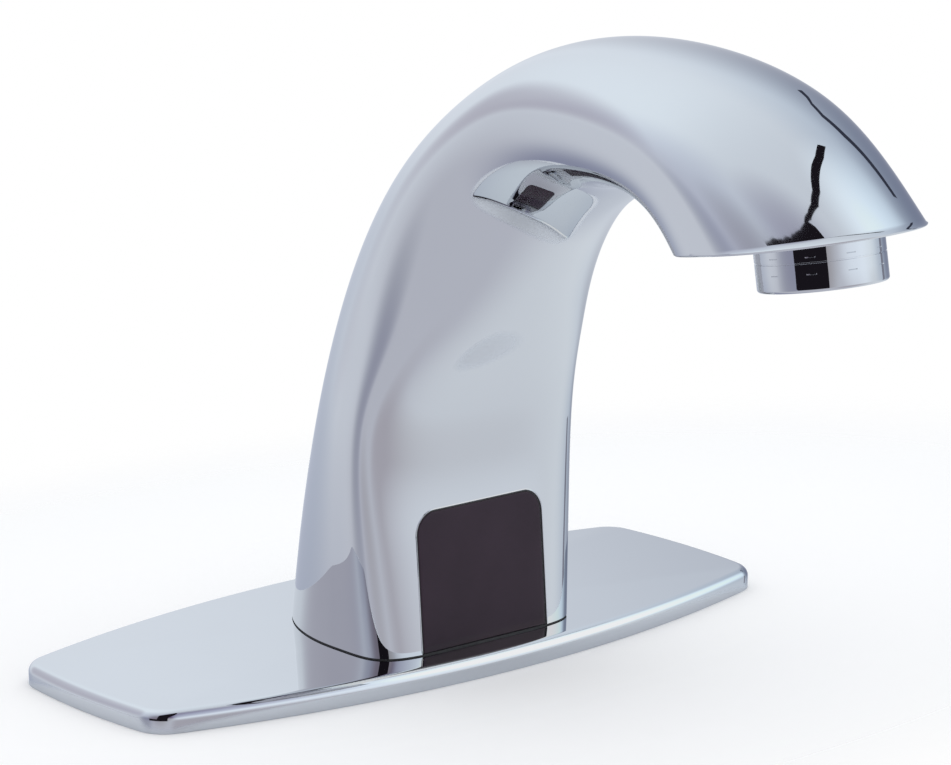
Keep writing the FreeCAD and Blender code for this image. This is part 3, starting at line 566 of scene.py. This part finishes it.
def ring_angles():
    """Angles round the ring, each with the share by which a pad's notch cuts in there."""
    half = PAD_WIDTH / 2 / RING_RADIUS
    flank = math.radians(PAD_FLANK)
    pitch = 2 * math.pi / PAD_COUNT
    free = pitch - 2 * (half + flank)
    rows = []
    for pad in range(PAD_COUNT):
        middle = math.radians(PAD_FIRST) + pad * pitch
        end = middle + half + flank
        rows.append((middle - half - flank, 0.0))
        rows += [(middle + half * (2 * i / PAD_STEPS - 1), 1.0) for i in range(PAD_STEPS + 1)]
        rows.append((end, 0.0))
        rows += [(end + free * i / PAD_GAP_STEPS, 0.0) for i in range(1, PAD_GAP_STEPS)]
    return rows


def make_ring():
    """The aerator's ring: a fine groove, short notches above and below it, a rounded foot."""
    pad_top = PAD_BELOW - PAD_HEIGHT / 2
    pad_foot = PAD_BELOW + PAD_HEIGHT / 2
    groove_top = GROOVE_BELOW - GROOVE_WIDTH / 2
    groove_foot = GROOVE_BELOW + GROOVE_WIDTH / 2
    # Rows down the outside: depth below the mouth, radius, and whether a pad's notch cuts it.
    outside = [
        (RING_GAP, RING_RADIUS - RING_CHAMFER, False),
        (RING_GAP + RING_CHAMFER, RING_RADIUS, False),
        (pad_top - PAD_NOTCH, RING_RADIUS, False),
        (pad_top, RING_RADIUS, True),
        (pad_top + PAD_NOTCH, RING_RADIUS, False),
        (groove_top - GROOVE_FLANK, RING_RADIUS, False),
        (groove_top, RING_RADIUS - GROOVE_DEPTH, False),
        (groove_foot, RING_RADIUS - GROOVE_DEPTH, False),
        (groove_foot + GROOVE_FLANK, RING_RADIUS, False),
        (pad_foot - PAD_NOTCH, RING_RADIUS, False),
        (pad_foot, RING_RADIUS, True),
        (pad_foot + PAD_NOTCH, RING_RADIUS, False),
    ]
    for fall, rise in arc_steps(RING_EDGE_STEPS):
        below = RING_FOOT - RING_EDGE * (1 - rise)
        outside.append((below, RING_RADIUS - RING_EDGE * (1 - fall), False))
    lip = RING_FOOT - RING_LIP
    inside = [
        (RING_FOOT, RING_LIP_RADIUS + RING_LIP_CHAMFER, False),
        (RING_FOOT - RING_LIP_CHAMFER, RING_LIP_RADIUS, False),
        (lip, RING_LIP_RADIUS, False),
        (lip, RING_BORE, False),
        (RING_GAP, RING_BORE, False),
    ]
    angles = ring_angles()
    loops = []
    for below, radius, notched in outside + inside:
        loop = []
        for angle, share in angles:
            cut = PAD_NOTCH * share if notched else 0.0
            loop.append(on_mouth(angle, radius - cut, below))
        loops.append(loop)
    points, faces = skin_loops(loops)
    return make_piece("aerator_ring_cover", points, faces, "aerator_ring",
                      ("aerator_housing",), sharp=SHARP_ANGLE_FINE)


def make_socket():
    """The threaded nipple under the mouth and the water chamber above it."""
    root = NIPPLE_RADIUS - THREAD_DEPTH
    angles = [2 * math.pi * j / THREAD_SIDES for j in range(THREAD_SIDES)]
    loops = []

    def ring(radius, below):
        loops.append([on_mouth(a, radius, below) for a in angles])

    ring(POCKET_RADIUS, NIPPLE_FOOT)
    ring(root, NIPPLE_FOOT)
    for i in range(THREAD_TURNS * THREAD_ROWS + 1):
        below = NIPPLE_FOOT - THREAD_END - THREAD_PITCH * i / THREAD_ROWS
        loop = []
        for a in angles:
            phase = (i / THREAD_ROWS + a / (2 * math.pi)) % 1.0
            height = THREAD_DEPTH * abs(2 * phase - 1)
            loop.append(on_mouth(a, root + height * THREAD_FILL, below))
        loops.append(loop)
    ring(PLAIN_RADIUS, THREAD_END)
    ring(PLAIN_RADIUS, -SOCKET_DEPTH)
    ring(BOSS_RADIUS, -SOCKET_DEPTH)
    ring(BOSS_RADIUS, -BOSS_DEPTH)
    ring(INLET_RADIUS, -BOSS_DEPTH)
    ring(INLET_RADIUS, -CHAMBER_DEPTH)
    ring(CHAMBER_RADIUS, -CHAMBER_DEPTH)
    ring(CHAMBER_RADIUS, -POCKET_DEPTH)
    ring(POCKET_RADIUS, -POCKET_DEPTH)
    points, faces = skin_loops(loops)
    return make_piece("outlet_socket", points, faces, "root",
                      sharp=SHARP_ANGLE_FINE)


# ---------------------------------------------------------------- materials

# Chrome: how much it darkens each reflection, how much its haze does, and its roughness.
CHROME_SHARE = 0.81
CHROME_HAZE = 0.985
CHROME_ROUGHNESS = (0.012, 0.03)
NOISE_ROUGHNESS = 0.55
NOISE_SPAN = (0.3, 0.7)


def rgb(colour):
    """A colour with its alpha."""
    return (*colour, 1.0)


def scaled(colour, share):
    """A colour made darker or lighter, up to white."""
    return tuple(min(c * share, 1.0) for c in colour)


class Finish:
    """A principled material with a few node shortcuts."""

    def __init__(self, name, metallic=0.0, ior=1.45):
        self.material = bpy.data.materials.new(name)
        self.material.use_nodes = True
        self.tree = self.material.node_tree
        self.shader = self.tree.nodes["Principled BSDF"]
        self.shader.inputs["Metallic"].default_value = metallic
        self.shader.inputs["IOR"].default_value = ior
        self.place = self.add("ShaderNodeTexCoord").outputs["Object"]

    def add(self, kind):
        return self.tree.nodes.new(kind)

    def link(self, source, target):
        self.tree.links.new(source, target)

    def noise(self, scale, detail=4.0, stretch=(1, 1, 1)):
        """Noise on the piece's own coordinates, in metres times scale."""
        mapping = self.add("ShaderNodeMapping")
        mapping.inputs["Scale"].default_value = stretch
        self.link(self.place, mapping.inputs["Vector"])
        noise = self.add("ShaderNodeTexNoise")
        noise.inputs["Scale"].default_value = scale
        noise.inputs["Detail"].default_value = detail
        noise.inputs["Roughness"].default_value = NOISE_ROUGHNESS
        self.link(mapping.outputs["Vector"], noise.inputs["Vector"])
        return noise.outputs["Fac"]

    def ramp(self, source, low, high, stops=NOISE_SPAN):
        """A colour ramp between two colours."""
        ramp = self.add("ShaderNodeValToRGB")
        ramp.color_ramp.elements[0].position = stops[0]
        ramp.color_ramp.elements[1].position = stops[1]
        ramp.color_ramp.elements[0].color = rgb(low)
        ramp.color_ramp.elements[1].color = rgb(high)
        self.link(source, ramp.inputs["Fac"])
        return ramp.outputs["Color"]

    def spread(self, source, low, high):
        """A noise brought from its usual span to a range from low to high."""
        spread = self.add("ShaderNodeMapRange")
        spread.inputs["From Min"].default_value = NOISE_SPAN[0]
        spread.inputs["From Max"].default_value = NOISE_SPAN[1]
        spread.inputs["To Min"].default_value = low
        spread.inputs["To Max"].default_value = high
        self.link(source, spread.inputs["Value"])
        return spread.outputs["Result"]

    def colour(self, source):
        self.link(source, self.shader.inputs["Base Color"])

    def roughness(self, source):
        self.link(source, self.shader.inputs["Roughness"])

    def bump(self, source, strength, distance):
        bump = self.add("ShaderNodeBump")
        bump.inputs["Strength"].default_value = strength
        bump.inputs["Distance"].default_value = distance
        self.link(source, bump.inputs["Height"])
        self.link(bump.outputs["Normal"], self.shader.inputs["Normal"])


def record_colour(slot):
    """The base colour that the record gives to a slot."""
    for entry in frame["record"]["materials"]:
        if entry["slot"] == slot:
            return tuple(entry["base_color"])
    raise ValueError(slot)


def varied(name, slot, low, high, scale, grain, metallic=0.0, amount=0.12, stretch=(1, 1, 1),
           bump=0.0):
    """A slot's colour, a little darker and lighter in soft patches, with uneven gloss."""
    finish = Finish(name, metallic)
    base = record_colour(slot)
    patches = finish.noise(scale, stretch=stretch)
    finish.colour(finish.ramp(patches, scaled(base, 1 - amount), scaled(base, 1 + amount)))
    fine = finish.noise(grain, detail=6.0, stretch=stretch)
    finish.roughness(finish.spread(fine, low, high))
    if bump:
        finish.bump(fine, 1.0, bump)
    return finish.material


def make_chrome():
    """Polished chrome: a mirror with a trace of haze, each reflection a little darker."""
    finish = Finish("chrome_bright", metallic=1.0)
    bright = scaled(record_colour("chrome"), CHROME_SHARE)
    haze = finish.noise(35.0, detail=5.0)
    finish.colour(finish.ramp(haze, scaled(bright, CHROME_HAZE), bright))
    finish.roughness(finish.spread(haze, *CHROME_ROUGHNESS))
    return finish.material


def make_lens_material():
    """Deep purple-black plastic that lets the sensor's light through."""
    finish = Finish("lens_gloss", ior=1.5)
    base = record_colour("dark_lens")
    cloud = finish.noise(60.0, detail=2.0)
    finish.colour(finish.ramp(cloud, scaled(base, 0.8), base))
    finish.roughness(finish.spread(cloud, 0.06, 0.11))
    finish.shader.inputs["Specular IOR Level"].default_value = 0.18
    return finish.material


def make_board_material():
    """Green board with copper tracks below the lacquer."""
    finish = Finish("board_lacquer")
    base = record_colour("board_green")
    track = finish.add("ShaderNodeTexBrick")
    track.inputs["Scale"].default_value = 300.0
    track.inputs["Mortar Size"].default_value = 0.012
    track.inputs["Color1"].default_value = rgb(base)
    track.inputs["Color2"].default_value = rgb(scaled(base, 0.9))
    track.inputs["Mortar"].default_value = rgb(scaled(base, 1.6))
    turn = finish.add("ShaderNodeMapping")
    turn.inputs["Rotation"].default_value = (math.pi / 2, 0, 0)
    finish.link(finish.place, turn.inputs["Vector"])
    finish.link(turn.outputs["Vector"], track.inputs["Vector"])
    finish.colour(track.outputs["Color"])
    finish.roughness(finish.spread(finish.noise(200.0), 0.25, 0.4))
    return finish.material


def make_winding_material():
    """Copper wire wound in close turns, with painted shade in the grooves between them."""
    finish = Finish("winding_copper", metallic=0.9)
    base = record_colour("copper_wire")
    wave = finish.add("ShaderNodeTexWave")
    wave.bands_direction = "Z"
    wave.inputs["Scale"].default_value = 900.0
    finish.link(finish.place, wave.inputs["Vector"])
    turns = wave.outputs["Fac"]
    # Painted shade: the colour falls to about half in the grooves between the turns, where the
    # bump sinks.
    finish.colour(finish.ramp(turns, scaled(base, 0.55), base, (0.1, 0.6)))
    finish.roughness(finish.spread(finish.noise(300.0), 0.3, 0.45))
    finish.bump(turns, 0.6, 0.0001)
    return finish.material


def make_hose_material():
    """Milky silicone."""
    finish = Finish("hose_milky", ior=1.42)
    base = record_colour("clear_hose")
    cloud = finish.noise(90.0)
    finish.colour(finish.ramp(cloud, scaled(base, 0.9), base))
    finish.roughness(finish.spread(cloud, 0.3, 0.45))
    finish.shader.inputs["Subsurface Weight"].default_value = 0.2
    finish.shader.inputs["Subsurface Radius"].default_value = (0.002, 0.002, 0.002)
    return finish.material


def make_materials():
    """One material for each slot of the record."""
    return {
        "chrome": make_chrome(),
        "dark_lens": make_lens_material(),
        "black_rubber": varied("rubber_matte", "black_rubber", 0.55, 0.75, 120.0, 900.0,
                               bump=0.00002),
        "black_plastic": varied("plastic_black", "black_plastic", 0.4, 0.55, 150.0, 1200.0,
                                bump=0.00003),
        "cast_brass": varied("brass_cast", "cast_brass", 0.22, 0.4, 90.0, 700.0, metallic=1.0,
                             bump=0.00002),
        "steel": varied("steel_turned", "steel", 0.22, 0.38, 200.0, 800.0, metallic=1.0,
                        amount=0.06, stretch=(1, 1, 6)),
        "valve_plastic": varied("plastic_valve", "valve_plastic", 0.32, 0.48, 140.0, 1000.0,
                                bump=0.00003),
        "white_plastic": varied("plastic_white", "white_plastic", 0.3, 0.42, 160.0, 900.0,
                                amount=0.05),
        "copper_wire": make_winding_material(),
        "board_green": make_board_material(),
        "eye_dark": varied("eye_gloss", "eye_dark", 0.06, 0.14, 300.0, 900.0),
        "lamp_clear": varied("lamp_gloss", "lamp_clear", 0.08, 0.16, 400.0, 900.0),
        "clear_hose": make_hose_material(),
    }


def paint(obj, material):
    """Give a piece one material all over."""
    if not obj.material_slots:
        obj.data.materials.append(material)
    for place in obj.material_slots:
        place.material = material


def paint_frame(materials):
    """Give every node of the frame its slot's finish."""
    for part in frame["record"]["subparts"]:
        paint(frame["nodes"][part["node"]], materials[part["material_slot"]])


# ---------------------------------------------------------------- stage

# Floor, in metres: half its side, its colour as the camera and as the metal see it, and the
# glow that brings it up to the white backdrop.
FLOOR_HALF = 6.0
FLOOR_COLOUR = (0.97, 0.97, 0.975)
FLOOR_IN_METAL = (0.83, 0.87, 0.93)
FLOOR_ROUGHNESS = 0.9
FLOOR_GLOW = 0.07
# Ovals within which the floor is whole: middle, half lengths, and the shares of these at
# which it starts to fade and is gone.
OVAL_SEEN = ((0, 0.01), (0.10, 0.06), 0.9, 2.6)
OVAL_IN_METAL = ((0, 0), (0.095, 0.0485), 0.92, 1.0)

# Camera: azimuth and elevation in degrees, sensor, lens and place in millimetres.
CAMERA_AZIMUTH = -40.26
CAMERA_ELEVATION = 13.64
CAMERA_SENSOR = 36.0
CAMERA_LENS = 163.99
CAMERA_PLACE = (-548.47, -671.52, 264.12)

# The tent as the metal sees it: one base colour and soft fields added to it or taken off it,
# each with the azimuth and elevation of its middle, its reach in degrees and its colour.
TENT_BASE = (0.60, 0.62, 0.70)
TENT_DARKEST = (0.06, 0.06, 0.08)
TENT_BRIGHTEST = (1.2, 1.2, 1.2)
TENT_FIELDS = [
    (14, 78, 102, (0.14, 0.18, 0.18)),
    (-173, 32, 80, (0.26, 0.30, 0.30)),
    (-86, 28, 58, (-0.14, -0.15, -0.11)),
    (-54, 18, 45, (-0.27, -0.32, -0.38)),
    (-6, 45, 38, (-0.49, -0.57, -0.52)),
    (62, 30, 34, (0.47, 0.60, 0.64)),
    (98, 10, 48, (-0.30, -0.28, -0.22)),
    (88, -12, 72, (0.21, 0.25, 0.23)),
    (11, -25, 35, (-0.11, -0.14, -0.16)),
    (173, -40, 50, (-0.31, -0.31, -0.27)),
    (113, 5, 35, (-0.30, -0.35, -0.37)),
    (22, 20, 40, (0.31, 0.37, 0.40)),
    (-102, -6, 30, (-0.17, -0.17, -0.17)),
    (-152, 22, 34, (-0.26, -0.32, -0.31)),
]

# Dark marks seen in the metal, as pairs of (azimuth, elevation) on the two sides of a band.
# They are seen from a point at the height of the head, and stand this far off in metres.
BAND_HEIGHT = 100.0
BAND_DISTANCE = 5.0
OPENING_COLOUR = (0.012, 0.010, 0.014)
EDGE_LINE_COLOUR = (0.04, 0.045, 0.07)
UPRIGHT_COLOUR = (0.24, 0.25, 0.31)
# The tent's front opening, from left to right between its lower and its upper edge.
OPENING = [
    ((-66, 8), (-66, 51)),
    ((-60, 8), (-60, 55.2)),
    ((-53, 8), (-53, 59.2)),
    ((-49.5, 8), (-49.5, 60.7)),
    ((-42, 8), (-42, 63.5)),
    ((-33, 8), (-33, 66.15)),
    ((-31.5, 20), (-31.5, 66.45)),
    ((-28, 30), (-28, 67.15)),
    ((-22, 37), (-22, 68.3)),
    ((-16, 42), (-16, 69.1)),
    ((-11, 45), (-11, 69.65)),
    ((0, 51), (0, 70.3)),
    ((8, 56), (8, 70.5)),
    ((14, 59), (14, 70.45)),
    ((22, 64), (22, 70.1)),
    ((27, 67), (27, 69.5)),
    ((31, 68), (31, 68.6)),
]
# Its foot, wider to the left.
OPENING_FOOT = [
    ((-90, -10), (-90, 8)),
    ((-66, -10), (-66, 8)),
    ((-48, -10), (-48, 8)),
    ((-33, -10), (-33, 8)),
]
# The seam that runs on from its top, down to the right.
SEAM = [
    ((19, 70.3), (24, 69.8)),
    ((29, 69.8), (34, 68.7)),
    ((38, 68.7), (44.4, 67.1)),
    ((52, 66.1), (56.6, 63.9)),
    ((65.9, 62.3), (69.4, 59.6)),
    ((74.1, 59.7), (77, 56.6)),
    ((83.4, 55.3), (84.6, 52.4)),
    ((90, 50.5), (91, 47.5)),
    ((96.7, 45), (97.4, 42.1)),
]
# The narrow edge of the tent on the right.
EDGE_LINE = [
    ((121.8, 20.4), (122.4, 17.7)),
    ((118.8, 22.8), (119.8, 20.2)),
    ((115.6, 26.3), (116.8, 23.9)),
    ((111.3, 28.7), (112.8, 26.2)),
    ((106.9, 27.3), (109, 24.4)),
    ((104.9, 24.5), (107, 21.6)),
    ((103.4, 23), (105.5, 20.1)),
    ((102.1, 21.7), (103.9, 19.1)),
]
# A dim upright below it, seen along the column's right edge.
UPRIGHT = [
    ((82, -18), (88, -18)),
    ((81, -12), (89, -12)),
    ((80, 3), (87, 3)),
]


def direction(azimuth, elevation):
    """The direction at an azimuth from the front towards the right, and an elevation."""
    a = math.radians(azimuth)
    e = math.radians(elevation)
    return Vector((math.sin(a) * math.cos(e), -math.cos(a) * math.cos(e), math.sin(e)))


def stage_piece(name, points, faces):
    """A piece of the stage from points in metres."""
    mesh = bpy.data.meshes.new(name)
    mesh.from_pydata(points, [], faces)
    piece = bpy.data.objects.new(name, mesh)
    bpy.context.scene.collection.objects.link(piece)
    return piece


def blend(tree, factor, first, second):
    """A colour that goes from the first to the second with a factor from another node."""
    mix = tree.nodes.new("ShaderNodeMix")
    mix.data_type = "RGBA"
    tree.links.new(factor, mix.inputs[0])
    for socket, colour in ((mix.inputs[6], first), (mix.inputs[7], second)):
        if isinstance(colour, tuple):
            socket.default_value = rgb(colour)
        else:
            tree.links.new(colour, socket)
    return mix.outputs[2]


def background_rays(tree, kinds):
    """One for the named kinds of ray, and nothing for all others."""
    paths = tree.nodes.new("ShaderNodeLightPath")
    total = paths.outputs[kinds[0]]
    for kind in kinds[1:]:
        more = tree.nodes.new("ShaderNodeMath")
        more.operation = "MAXIMUM"
        tree.links.new(total, more.inputs[0])
        tree.links.new(paths.outputs[kind], more.inputs[1])
        total = more.outputs[0]
    return total


def make_floor():
    """The floor: whole under the tap, melting into the white backdrop farther off.

    In the metal only a strip close to the plate is seen, and the tent's lower half beyond it.
    """
    s = FLOOR_HALF
    corners = [(-s, -s, 0), (s, -s, 0), (s, s, 0), (-s, s, 0)]
    floor = stage_piece("floor", corners, [(0, 1, 2, 3)])
    material = bpy.data.materials.new("floor_pale")
    material.use_nodes = True
    tree = material.node_tree
    place = tree.nodes.new("ShaderNodeTexCoord").outputs["Object"]

    def fade(centre, reach, start, end):
        """One within an oval on the floor, going softly to nothing outside it."""
        mapping = tree.nodes.new("ShaderNodeMapping")
        mapping.vector_type = "TEXTURE"
        mapping.inputs["Location"].default_value = (*centre, 0)
        mapping.inputs["Scale"].default_value = (*reach, 1)
        tree.links.new(place, mapping.inputs["Vector"])
        length = tree.nodes.new("ShaderNodeVectorMath")
        length.operation = "LENGTH"
        tree.links.new(mapping.outputs["Vector"], length.inputs[0])
        soft = tree.nodes.new("ShaderNodeMapRange")
        soft.interpolation_type = "SMOOTHSTEP"
        soft.inputs["From Min"].default_value = start
        soft.inputs["From Max"].default_value = end
        soft.inputs["To Min"].default_value = 1.0
        soft.inputs["To Max"].default_value = 0.0
        tree.links.new(length.outputs["Value"], soft.inputs["Value"])
        return soft.outputs["Result"]

    shader = tree.nodes["Principled BSDF"]
    shader.inputs["Roughness"].default_value = FLOOR_ROUGHNESS
    shader.inputs["Specular IOR Level"].default_value = 0.0
    metal = tree.nodes.new("ShaderNodeLightPath").outputs["Is Glossy Ray"]
    colour = blend(tree, metal, FLOOR_COLOUR, FLOOR_IN_METAL)
    tree.links.new(colour, shader.inputs["Base Color"])
    solid = tree.nodes.new("ShaderNodeMix")
    tree.links.new(metal, solid.inputs[0])
    tree.links.new(fade(*OVAL_SEEN), solid.inputs[2])
    tree.links.new(fade(*OVAL_IN_METAL), solid.inputs[3])
    tree.links.new(solid.outputs[0], shader.inputs["Alpha"])
    seen = background_rays(tree, ("Is Camera Ray", "Is Transmission Ray"))
    glow = tree.nodes.new("ShaderNodeMath")
    glow.operation = "MULTIPLY"
    glow.inputs[1].default_value = FLOOR_GLOW
    tree.links.new(seen, glow.inputs[0])
    shader.inputs["Emission Color"].default_value = rgb((1.0, 1.0, 1.0))
    tree.links.new(glow.outputs[0], shader.inputs["Emission Strength"])
    floor.data.materials.append(material)


def make_world():
    """A soft light tent: pale all round, with wide dimmer and brighter fields laid over it."""
    world = bpy.data.worlds.new("tent")
    bpy.context.scene.world = world
    world.use_nodes = True
    tree = world.node_tree
    tree.nodes.clear()
    where = tree.nodes.new("ShaderNodeTexCoord").outputs["Generated"]

    def vector_step(operation, *values):
        """One step of vector maths on sockets and fixed colours."""
        step = tree.nodes.new("ShaderNodeVectorMath")
        step.operation = operation
        for socket, value in zip(step.inputs, values):
            if isinstance(value, (tuple, Vector)):
                socket.default_value = value
            else:
                tree.links.new(value, socket)
        return step.outputs["Value" if operation == "DOT_PRODUCT" else "Vector"]

    tent = None
    for azimuth, elevation, reach, colour in TENT_FIELDS:
        soft = tree.nodes.new("ShaderNodeMapRange")
        soft.interpolation_type = "SMOOTHSTEP"
        soft.inputs["From Min"].default_value = math.cos(math.radians(reach))
        tree.links.new(vector_step("DOT_PRODUCT", where, direction(azimuth, elevation)),
                       soft.inputs["Value"])
        base = tent if tent else TENT_BASE
        tent = vector_step("MULTIPLY_ADD", soft.outputs["Result"], colour, base)
    tent = vector_step("MAXIMUM", tent, TENT_DARKEST)
    tent = vector_step("MINIMUM", tent, TENT_BRIGHTEST)

    white = background_rays(tree, ("Is Camera Ray", "Is Transmission Ray", "Is Diffuse Ray"))
    background = tree.nodes.new("ShaderNodeBackground")
    tree.links.new(blend(tree, white, tent, (1.0, 1.0, 1.0)), background.inputs["Color"])
    output = tree.nodes.new("ShaderNodeOutputWorld")
    tree.links.new(background.outputs["Background"], output.inputs["Surface"])


def band(name, pairs, colour):
    """A dark strip of the tent, seen in the metal only, through pairs of directions."""
    centre = Vector((0, AERATOR_Y, BAND_HEIGHT)) * MM
    points = [centre + direction(*way) * BAND_DISTANCE for pair in pairs for way in pair]
    faces = [(2 * i, 2 * i + 1, 2 * i + 3, 2 * i + 2) for i in range(len(pairs) - 1)]
    strip = stage_piece(name, points, faces)
    strip.visible_camera = False
    strip.visible_diffuse = False
    strip.visible_shadow = False
    strip.visible_transmission = False
    material = bpy.data.materials.new(name)
    material.use_nodes = True
    tree = material.node_tree
    tree.nodes.clear()
    glow = tree.nodes.new("ShaderNodeEmission")
    glow.inputs["Color"].default_value = rgb(colour)
    output = tree.nodes.new("ShaderNodeOutputMaterial")
    tree.links.new(glow.outputs["Emission"], output.inputs["Surface"])
    strip.data.materials.append(material)


def make_bands():
    """All dark marks of the tent."""
    band("opening", OPENING, OPENING_COLOUR)
    band("opening_foot", OPENING_FOOT, OPENING_COLOUR)
    band("seam", SEAM, OPENING_COLOUR)
    band("edge_line", EDGE_LINE, EDGE_LINE_COLOUR)
    band("upright", UPRIGHT, UPRIGHT_COLOUR)


def make_camera():
    """The camera where the photo's camera stood."""
    azimuth = math.radians(CAMERA_AZIMUTH)
    right = Vector((math.cos(azimuth), math.sin(azimuth), 0))
    back = direction(CAMERA_AZIMUTH, CAMERA_ELEVATION)
    up = back.cross(right)
    data = bpy.data.cameras.new("camera")
    data.sensor_width = CAMERA_SENSOR
    data.sensor_fit = "HORIZONTAL"
    data.lens = CAMERA_LENS
    data.clip_end = 100.0
    camera = bpy.data.objects.new("camera", data)
    bpy.context.scene.collection.objects.link(camera)
    turn = Matrix((right, up, back)).transposed().to_4x4()
    camera.matrix_world = Matrix.Translation(Vector(CAMERA_PLACE) * MM) @ turn
    bpy.context.scene.camera = camera


# ---------------------------------------------------------------- build

materials = make_materials()
paint_frame(materials)
new_pieces = {
    "chrome": [make_spout(), make_window_rim(), make_plate(), make_ring()],
    "dark_lens": [make_lens()],
    "black_rubber": [make_seal()],
    "cast_brass": [make_socket()],
}
for slot_name, pieces in new_pieces.items():
    for piece in pieces:
        paint(piece, materials[slot_name])
make_floor()
make_world()
make_bands()
make_camera()
bpy.context.scene.view_settings.view_transform = "Standard"
